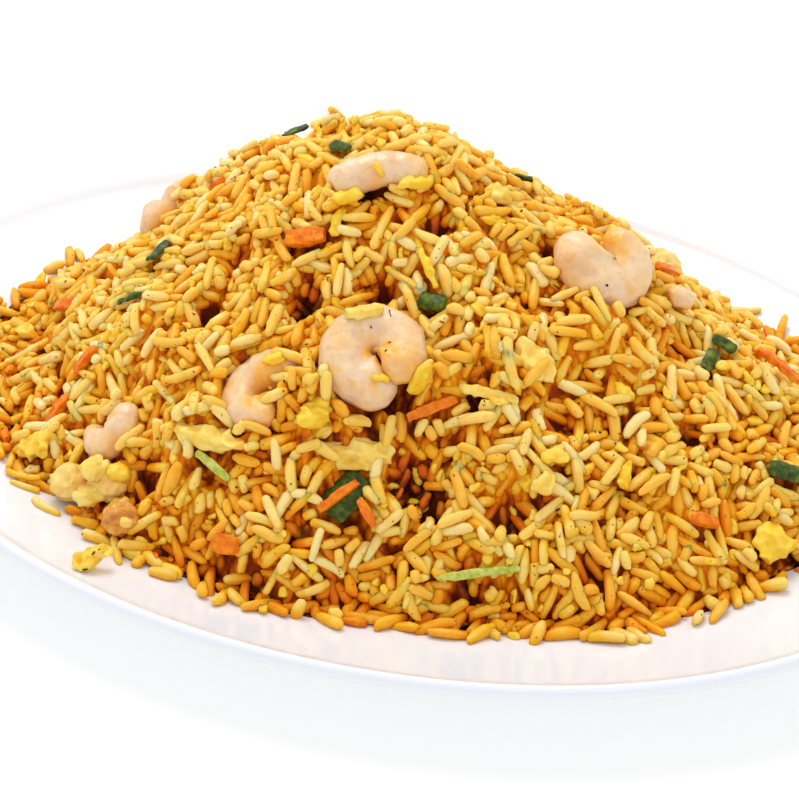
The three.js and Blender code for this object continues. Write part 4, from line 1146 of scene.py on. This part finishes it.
def shrimp_points(size, thick, tail, start, sweep, curl, lap=0, belly=0):
    """A tapering body bent round a closing spiral. The tail may lap over the head's end, and the
    belly may fill the ring."""
    past = SHRIMP_PAST * lap
    share = np.linspace(-SHRIMP_END, 1 + SHRIMP_END + past, SHRIMP_STEPS)
    angle = np.radians(start + sweep * share)
    radius = (size - thick) / 2 * (1 - curl * share ** 2)
    from_end = np.minimum(share + SHRIMP_END, 1 + SHRIMP_END + past - share)
    from_end = np.minimum(1, from_end / SHRIMP_BLUNT_SHARE)
    blunt = np.maximum(np.sqrt(np.clip(1 - (1 - from_end) ** 2, 0, None)), SHRIMP_TIP)
    ridge = (share * SHRIMP_SEGMENTS) % 1
    climb_share, fall_share = SHRIMP_STEP
    step = np.where(ridge < climb_share, ridge / climb_share, (1 - ridge) / fall_share)
    depth, count, start, run = TAIL_FAN
    folds = depth * np.sin(share * count) * np.clip((share - start) / run, 0, 1)
    side = np.linspace(0, 2 * np.pi, SHRIMP_SIDES, endpoint=False)
    back = np.clip(np.cos(side), 0, 1)
    half = ((thick + (tail - thick) * share) / 2 * blunt)[:, None]
    base, ridge_depth, under = SHRIMP_RIDGES
    half = half * (base + (ridge_depth * step + folds)[:, None] * (under + (1 - under) * back)[None, :])
    depth, place, width = SHRIMP_GROOVE
    groove = depth * np.exp(-(side - place) ** 2 / width)
    half = half - groove[None, :] * np.clip(blunt * 2 - 1, 0, 1)[:, None]
    inner = 1 + (belly - SHRIMP_HOLLOW) * np.clip(-np.cos(side), 0, 1) ** 2
    out = half * np.cos(side)[None, :] * inner[None, :]
    rise = SHRIMP_HEIGHT * half * (np.sign(np.sin(side)) * np.abs(np.sin(side)) ** SHRIMP_ROUND)[None, :]
    start, run, most = LAP_CLIMB
    climb = lap * np.clip((share - start) / run, 0, most) ** 2
    rise = rise + climb[:, None]
    points = np.stack([(radius[:, None] + out) * np.cos(angle)[:, None],
                       (radius[:, None] + out) * np.sin(angle)[:, None], rise], -1)
    ends = [[radius[place] * math.cos(angle[place]), radius[place] * math.sin(angle[place]), climb[place]]
            for place in (0, -1)]
    place, width, under = BAND
    band = np.exp(-((ridge - place) / width) ** 2)[:, None] * (under + (1 - under) * back)[None, :]
    low = np.clip(STAIN_HEIGHT - np.sin(side), 0, 1) ** STAIN_FALL
    strength, start, run = TAIL_STAIN
    stain_and_shade = np.clip(low[None, :] + strength * np.clip((share - start) / run, 0, 1)[:, None], 0, 1)
    values = {"band": np.concatenate([band.ravel(), END_BANDS]),
              "stain_and_shade": np.concatenate([stain_and_shade.ravel(), END_STAINS])}
    return np.concatenate([points.reshape(-1, 3), ends]), values


def roughened(points, faces, depth, size, seed):
    """Pushes the skin in and out along its normals: creases with a finer grain between them."""
    normals = np.zeros_like(points)
    for group in faces:
        first, second, last = (points[group[:, corner]] for corner in (0, 1, -1))
        across = np.cross(second - first, last - first)
        for corner in range(group.shape[1]):
            np.add.at(normals, group[:, corner], across)
    return points + unit(normals) * (depth * creases(points, size, seed, *SKIN_CREASES))[:, None]


def photo_place(points):
    """Where points in millimetres lie in the photo, in pixels."""
    back, right, up = camera_axes()
    away = points - np.array(CAMERA_TARGET)
    depth = CAMERA_DISTANCE - away @ back
    middle = IMAGE_WIDTH_PX / 2
    return middle + FOCAL_PX * (away @ right) / depth, middle - FOCAL_PX * (away @ up) / depth


def heap_axes(maps, middle):
    """Downhill, across and outward at a place on the heap."""
    column, row = maps.cell(middle[0], middle[1])
    away = unit(np.array([middle[0] - HEAP_PEAK[0], middle[1] - HEAP_PEAK[1]]))
    fall = maps.slope_x[column, row] * away[0] + maps.slope_y[column, row] * away[1]
    downhill = unit(np.array([away[0], away[1], fall]))
    outward = unit(np.array([-maps.slope_x[column, row], -maps.slope_y[column, row], 1.0]))
    outward = unit(outward - downhill * (outward @ downhill))
    return downhill, np.cross(outward, downhill), outward


def turned(points, axes, turn, tilt):
    """Takes points from a topping's own frame to the heap's."""
    turn, tilt = math.radians(turn), math.radians(tilt)
    tilted = np.stack([points[:, 0], points[:, 1] * math.cos(tilt) - points[:, 2] * math.sin(tilt),
                       points[:, 1] * math.sin(tilt) + points[:, 2] * math.cos(tilt)], -1)
    flat = np.stack([tilted[:, 0] * math.cos(turn) - tilted[:, 1] * math.sin(turn),
                     tilted[:, 0] * math.sin(turn) + tilted[:, 1] * math.cos(turn), tilted[:, 2]], -1)
    return flat @ np.stack(axes)


# Sauce on the shrimps: place and radius in the photo's pixels, and strength.
MARKS = [
    (390, 348, 7, 0.9), (375, 383, 6, 0.9), (353, 385, 4, 0.5), (366, 353, 6, 0.9), (275, 366, 12, 1.0),
    (262, 382, 16, 0.8), (250, 398, 8, 0.5), (612, 236, 10, 0.8), (622, 256, 8, 0.7), (408, 190, 14, 0.6),
    (103, 409, 9, 1.0), (110, 448, 10, 0.5), (590, 290, 10, 0.3), (380, 186, 8, 0.5),
]
# The front shrimp's tail shows as rings: the outer one is painted shade along the tail's edge where it laps
# over the body, the inner one a line on the tail. Middle in pixels, the rings' radii, and a line's width.
TAIL_RINGS = (399, 361, (21.0, 14.0), 3.0)
RING_STRENGTH = 0.35
MARK_STRENGTH = 1.6
MOST_STAIN_AND_SHADE = 1.8


def sauce_and_shade_marks(points):
    seen_x, seen_y = photo_place(points)
    marks = sum(strength * np.exp(-((seen_x - x) ** 2 + (seen_y - y) ** 2) / radius ** 2)
                for x, y, radius, strength in MARKS)
    tail_x, tail_y, radii, width = TAIL_RINGS
    away = np.hypot(seen_x - tail_x, seen_y - tail_y)
    return marks + sum(RING_STRENGTH * np.exp(-((away - radius) / width) ** 2) for radius in radii)


FIT_ROUNDS = 40
FIT_SKIP = 7


def fit_to(points, target):
    """Turns and moves a piece until it lies as its solid does."""
    for _ in range(FIT_ROUNDS):
        apart = np.linalg.norm(target[:, None, :] - points[None, ::FIT_SKIP, :], axis=-1)
        nearest = points[::FIT_SKIP][apart.argmin(1)]
        centre, goal = nearest.mean(0), target.mean(0)
        left, _, right = np.linalg.svd((nearest - centre).T @ (target - goal))
        flip = np.diag([1, 1, np.sign(np.linalg.det(left @ right))])
        points = (points - centre) @ (left @ flip @ right) + goal
    return points


def make_shrimp(maps, name, turn, tilt, seed, **shape):
    low, high = node_box(name)
    middle = (low + high) / 2
    points, values = shrimp_points(**shape)
    points = turned(points, heap_axes(maps, middle), turn, tilt)
    points = fit_to(points + middle - (points.min(0) + points.max(0)) / 2, node_points(name)[0])
    count = SHRIMP_STEPS * SHRIMP_SIDES
    side, ahead = ring_steps(SHRIMP_SIDES)
    head = fan(count, side, ahead)
    tail = fan(count + 1, count - SHRIMP_SIDES + ahead, count - SHRIMP_SIDES + side)
    body = grid_faces(SHRIMP_STEPS, SHRIMP_SIDES)[:, ::-1]
    faces = [body, head, tail]
    if shape["sweep"] < 0:
        faces = [group[:, ::-1] for group in faces]
    points = roughened(points, faces, *SHRIMP_ROUGHNESS, seed)
    # Sauce marks, and the tail's rings, of which the outer one is painted shade.
    stain_and_shade = values["stain_and_shade"] + MARK_STRENGTH * sauce_and_shade_marks(points)
    values["stain_and_shade"] = np.clip(stain_and_shade, 0, MOST_STAIN_AND_SHADE)
    mesh_object(name + "_flesh", points, faces, MATERIALS["shrimp"], [name], values)
    maps.add_topping(points, np.concatenate([halves(faces[0]), *faces[1:]]), BARE_SHARE)


def halves(quads):
    return np.concatenate([quads[:, [0, 1, 2]], quads[:, [0, 2, 3]]])


WELD_MM = 0.02


def subdivided(name, levels, crease=0.0):
    """The node's shape made round by subdivision, as points and quads."""
    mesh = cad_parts[name].data.copy()
    copy = add_object("work", mesh)
    weld = copy.modifiers.new("weld", "WELD")
    weld.merge_threshold = WELD_MM * MM
    smooth = copy.modifiers.new("smooth", "SUBSURF")
    smooth.levels = levels
    smooth.subdivision_type = "CATMULL_CLARK"
    if crease:
        layer = mesh.attributes.new("crease_edge", "FLOAT", "EDGE")
        layer.data.foreach_set("value", np.full(len(mesh.edges), crease, np.float32))
    result = copy.evaluated_get(bpy.context.evaluated_depsgraph_get()).to_mesh()
    points = np.empty(len(result.vertices) * 3)
    result.vertices.foreach_get("co", points)
    faces = np.empty(len(result.loops), np.int32)
    result.loops.foreach_get("vertex_index", faces)
    copy.to_mesh_clear()
    bpy.data.objects.remove(copy)
    return points.reshape(-1, 3) / MM, faces.reshape(-1, 4)


# How each kind of topping is finished: material, rounding, depth of the creases and their size.
FINISHES = {
    **dict.fromkeys(("egg_strip", "egg_flat"), ("pale_egg", 3, 1.1, 3.4)),
    "egg_chunk": ("pale_egg", 3, 1.1, 3.2),
    "egg_high": ("pale_egg", 3, 1.0, 3.0),
    "egg_hollow": ("pale_egg", 3, 1.1, 3.0),
    "egg_sliver": ("pale_egg", 3, 0.4, 2.5),
    "egg": ("egg", 3, 1.1, 3.0),
    "egg_thread": ("bright_egg", 3, 0.4, 2.5),
    **dict.fromkeys(("egg_curl", "egg_peak"), ("bright_egg", 3, 0.5, 2.5)),
    **dict.fromkeys(("egg_low_right", "egg_right"), ("bright_egg", 3, 0.6, 2.5)),
    "egg_rim": ("bright_egg", 3, 1.0, 3.5),
    "chicken": ("chicken", 3, 0.5, 2.6),
    "chicken_brown": ("brown_chicken", 3, 0.6, 2.6),
    "shrimp_scrap": ("shrimp", 3, 0.4, 3.0),
    "carrot": ("carrot", 3, 0.2, 1.6),
    "scallion_pale": ("pale_scallion", 2, 0.2, 2.0),
    "scallion": ("scallion", 2, 0.3, 2.5),
    "crumb": ("egg", 3, 0.9, 2.5),
}
CARROT_CREASE = 0.55
MOST_STRETCH = 1.12
TOPPING_SEED = 40
SCRAP_TONE = 0.3


def finish_of(name):
    """The finish under the longest key that starts the node's name."""
    return FINISHES[max((key for key in FINISHES if name.startswith(key)), key=len)]


def make_topping(maps, name, seed):
    material, levels, rough, size = finish_of(name)
    crease = CARROT_CREASE if material == "carrot" else 0.0
    points, faces = subdivided(name, levels, crease)
    low, high = node_box(name)
    middle = (low + high) / 2
    stretch = (high - low) / np.maximum(np.ptp(points, axis=0), TINY)
    away = points - (points.min(0) + points.max(0)) / 2
    points = middle + away * min(MOST_STRETCH, float(stretch.mean()))
    points = roughened(points, [faces], rough, size, seed)
    tones = ("band", "stain_and_shade") if material == "shrimp" else ()
    values = {tone: np.full(len(points), SCRAP_TONE) for tone in tones}
    mesh_object(name + "_cooked", points, [faces], MATERIALS[material], [name], values)
    share = SHRED_SHARE if material in SHREDS else COVERED_SHARE
    maps.add_topping(points, halves(faces), share)


# ---------------------------------------------------------------- scene

def add_camera():
    data = bpy.data.cameras.new("camera")
    data.sensor_width = SENSOR_MM
    data.lens = FOCAL_PX * SENSOR_MM / IMAGE_WIDTH_PX
    data.clip_start = CLIP_START
    camera = add_object("camera", data)
    back = Vector(camera_axes()[0])
    camera.location = (Vector(CAMERA_TARGET) + back * CAMERA_DISTANCE) * MM
    camera.rotation_euler = back.to_track_quat("Z", "Y").to_euler()
    bpy.context.scene.camera = camera


def add_area(name, place, power, size):
    data = bpy.data.lights.new(name, "AREA")
    data.shape = "DISK"
    data.energy = power
    data.size = size
    lamp = add_object(name, data)
    lamp.location = place
    lamp.rotation_euler = Vector(place).to_track_quat("Z", "Y").to_euler()


# The stage: the floor's half width in metres and its grey, and each lamp's place in metres, power
# in watts and width.
FLOOR_REACH = 3.0
FLOOR_GREY = 0.4
FLOOR_GLOW = 0.58
WORLD_GLOW = 0.86
LAMPS = {"key": ((-0.35, 0.45, 0.95), 5.3, 0.6), "front": ((0.55, -0.75, 0.85), 0.8, 0.7)}
WHITE = (1, 1, 1, 1)


def add_stage():
    mesh = bpy.data.meshes.new("floor")
    corners = [(x * FLOOR_REACH, y * FLOOR_REACH, 0) for x, y in ((-1, -1), (1, -1), (1, 1), (-1, 1))]
    mesh.from_pydata(corners, [], [(0, 1, 2, 3)])
    floor = add_object("floor", mesh)
    paint = Paint("pale_floor")
    paint.set(Base_Color=(FLOOR_GREY, FLOOR_GREY, FLOOR_GREY, 1), Roughness=0.8,
              Emission_Color=WHITE, Emission_Strength=FLOOR_GLOW)
    mesh.materials.append(paint.material)
    world = bpy.data.worlds.new("studio")
    bpy.context.scene.world = world
    world.use_nodes = True
    background = world.node_tree.nodes["Background"].inputs
    background["Color"].default_value = WHITE
    background["Strength"].default_value = WORLD_GLOW
    for name, lamp in LAMPS.items():
        add_area(name, *lamp)
    bpy.context.scene.view_settings.view_transform = "Standard"


# Grains heaped against the toppings: the place in the photo's pixels, the radius and the rise in
# millimetres, and how many.
HEAPED = [
    (400, 414, 7, 4.0, 22), (440, 388, 5, 3.0, 8), (345, 420, 6, 3.5, 14), (302, 390, 5, 2.5, 8),
    (270, 436, 6, 3.0, 10), (228, 420, 5, 2.5, 5), (600, 318, 7, 3.5, 14), (556, 292, 5, 3.0, 6),
    (648, 310, 5, 2.0, 5), (345, 208, 6, 3.0, 10), (400, 200, 5, 2.5, 8), (100, 468, 6, 3.0, 8),
    (60, 512, 6, 2.5, 8), (125, 538, 6, 2.5, 8), (345, 478, 7, 3.0, 12), (330, 440, 5, 3.0, 8),
    (200, 455, 7, 3.0, 10), (240, 440, 5, 3.0, 6), (180, 430, 4, 3.0, 4), (490, 400, 6, 2.5, 8),
    (540, 375, 6, 3.0, 8), (590, 400, 7, 2.0, 8), (770, 560, 6, 2.5, 8), (40, 460, 6, 2.0, 6),
    (280, 240, 6, 2.0, 6), (300, 530, 8, 1.5, 8), (640, 420, 8, 2.0, 8), (180, 350, 8, 2.0, 8),
]

# Single pieces that stand out in the photo: their two ends and their width in its pixels.
SEEN_PIECES = {
    "rice": [
        (272, 353, 307, 363, 13), (284, 369, 311, 373, 12), (292, 375, 293, 398, 11),
        (303, 383, 316, 384, 12), (262, 402, 288, 390, 12), (286, 396, 301, 413, 11),
        (211, 402, 234, 424, 11), (214, 358, 230, 354, 11), (232, 353, 262, 345, 11),
        (258, 346, 285, 336, 13), (280, 431, 320, 422, 11), (296, 451, 321, 443, 12),
        (290, 453, 292, 490, 12), (274, 446, 278, 478, 11), (341, 308, 380, 299, 10),
        (396, 291, 391, 319, 11), (402, 282, 417, 320, 11), (430, 329, 448, 314, 11),
        (325, 282, 328, 301, 11), (327, 310, 336, 328, 11), (304, 344, 309, 373, 12),
        (343, 418, 371, 420, 12), (414, 377, 432, 361, 10), (440, 353, 474, 357, 12),
        (494, 337, 497, 368, 12), (505, 345, 516, 399, 12), (524, 391, 550, 364, 12),
        (440, 417, 486, 406, 11), (458, 425, 497, 418, 11), (513, 433, 531, 423, 11),
        (440, 447, 468, 442, 12), (458, 449, 485, 464, 11), (512, 453, 524, 479, 11),
        (522, 456, 529, 431, 11), (372, 250, 392, 207, 12), (410, 222, 430, 202, 12),
        (309, 207, 322, 222, 10), (342, 219, 376, 220, 11), (397, 240, 415, 222, 12),
        (455, 167, 477, 185, 11), (5, 474, 40, 482, 8), (10, 483, 40, 494, 9), (31, 500, 60, 517, 10),
        (118, 547, 155, 552, 12), (121, 534, 133, 537, 11), (146, 457, 178, 456, 12),
        (157, 424, 158, 451, 11),
    ],
    "egg_clots": [
        (264, 366, 284, 362, 14), (303, 413, 332, 409, 18), (296, 433, 330, 425, 22),
        (412, 407, 428, 379, 15), (372, 379, 390, 386, 9), (374, 174, 383, 188, 7),
        (333, 206, 362, 199, 16), (396, 191, 432, 186, 14), (604, 226, 634, 256, 15),
        (108, 478, 130, 484, 20),
    ],
    "egg_clots_pale": [
        (344, 319, 383, 313, 15), (84, 470, 108, 476, 25), (78, 503, 102, 503, 24),
    ],
    "pepper_bits": [
        (388, 343, 391, 342, 2), (385, 352, 387, 350, 2), (606, 286, 608, 286, 3),
        (370, 327, 372, 330, 2), (92, 556, 95, 552, 3), (82, 570, 88, 569, 4), (98, 552, 100, 551, 2),
        (70, 569, 71, 568, 2), (553, 283, 560, 288, 2), (389, 310, 391, 318, 2),
    ],
    "carrot_flecks": [
        (153, 552, 158, 560, 5), (349, 669, 353, 670, 2),
    ],
}
EGG_CLOT = ((1.2, 2.6), (0.8, 1.5))
EGG_BIT = ((0.8, 2.2), (0.6, 1.1))
BIG_CLOT = ((1.8, 3.8), (1.2, 2.1))
FLECK = ((0.9, 2.4), (0.4, 0.7))

# The rains: kind, how many, how proud a piece may stand, and its sizes. Rice comes in bundles.
GRAIN_SIZES = (WHOLE_GRAIN, BROKEN_GRAIN)
CLOT_SIZES = (BIG_CLOT, EGG_CLOT)
FIRST_RAINS = [
    ("rice", 1800, (-2.6, -1.2), GRAIN_SIZES),
    ("egg_clots", 130, (-1.4, 0.2), CLOT_SIZES),
    ("egg_clots_pale", 80, (-1.4, 0.2), CLOT_SIZES),
    ("rice", 1800, (-1.2, 0.3), GRAIN_SIZES),
    ("egg_clots", 90, (-0.6, 0.8), (EGG_CLOT,)),
    ("egg_bits", 260, (-0.6, 0.8), (EGG_BIT,)),
    ("carrot_flecks", 60, (-0.6, 0.8), (FLECK,)),
    ("scallion_flecks", 24, (-0.6, 0.8), (FLECK,)),
]
LAST_RAINS = [
    ("rice", 300, (-0.4, 0.9), GRAIN_SIZES, True),
    ("egg_bits", 90, (0.2, 1.2), (EGG_BIT,), False),
    ("rice", 170, (0.5, 1.7), GRAIN_SIZES, False),
]
# Filling bald places: rounds, grains in each, how deep a place must lie, and how proud they stand.
FIRST_FILL = (9, 130, 1.4, (-0.8, 0.4))
LAST_FILL = (8, 120, 1.0, (-0.4, 0.7))

# The clots: slot, material, shape, seed, and the rings and sides of each where they are fewer.
CLOTS = {
    "egg_clots": ("egg", "bright_egg", (1.0, 0.8, 0.16, 1.8), 91),
    "egg_bits": ("egg", "egg", (1.0, 0.8, 0.26, 1.5), 98, 7, 9),
    "egg_clots_pale": ("egg", "pale_egg", (1.0, 0.8, 0.16, 1.8), 95),
    "carrot_flecks": ("carrot", "carrot", (1.0, 0.7, 0.08, 1.0), 93, 6, 8),
    "scallion_flecks": ("scallion", "scallion", (1.1, 0.4, 0.08, 1.0), 94, 6, 8),
    "pepper_bits": ("rice", "pepper", (1.0, 0.5, 0.08, 0.8), 96, 6, 8),
}
SPECKS = (260, ((0.3, 0.2, 0.15), (1.1, 0.6, 0.4)), 97)


def main():
    add_camera()
    add_stage()
    make_platter()
    maps = Maps()
    for place, (name, shape) in enumerate(SHRIMPS.items()):
        make_shrimp(maps, name, seed=place, **shape)
    for place, name in enumerate(sorted(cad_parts)):
        if name not in SHRIMPS and name not in ("rice", "platter"):
            make_topping(maps, name, TOPPING_SEED + place)
    maps.settle_toppings()
    random = np.random.default_rng(GRAIN_SEED)
    grains = Grains(maps, random)
    for kind, count, spare, sizes in FIRST_RAINS:
        grains.rain(kind, count, spare, sizes, kind == "rice")
    grains.fill_bald("rice", *FIRST_FILL)
    for place_x, place_y, radius, rise, count in HEAPED:
        grains.dust("rice", maps.seen_at(place_x, place_y, maps.top), radius, rise, count)
    grains.fill_bald("rice", *LAST_FILL)
    for kind, count, spare, sizes, bundles in LAST_RAINS:
        grains.rain(kind, count, spare, sizes, bundles)
    for kind, rows in SEEN_PIECES.items():
        for row in rows:
            grains.place_seen(kind, *row)
    maps.settle_skin()
    make_core(maps)
    for kind, (node_slot, material, *clot) in CLOTS.items():
        add_clots(grains, random, kind, node_slot, MATERIALS[material], *clot)
    scatter_specks(maps, random, "pepper_specks", MATERIALS["pepper"], *SPECKS)
    make_grains(maps, grains, random)


main()
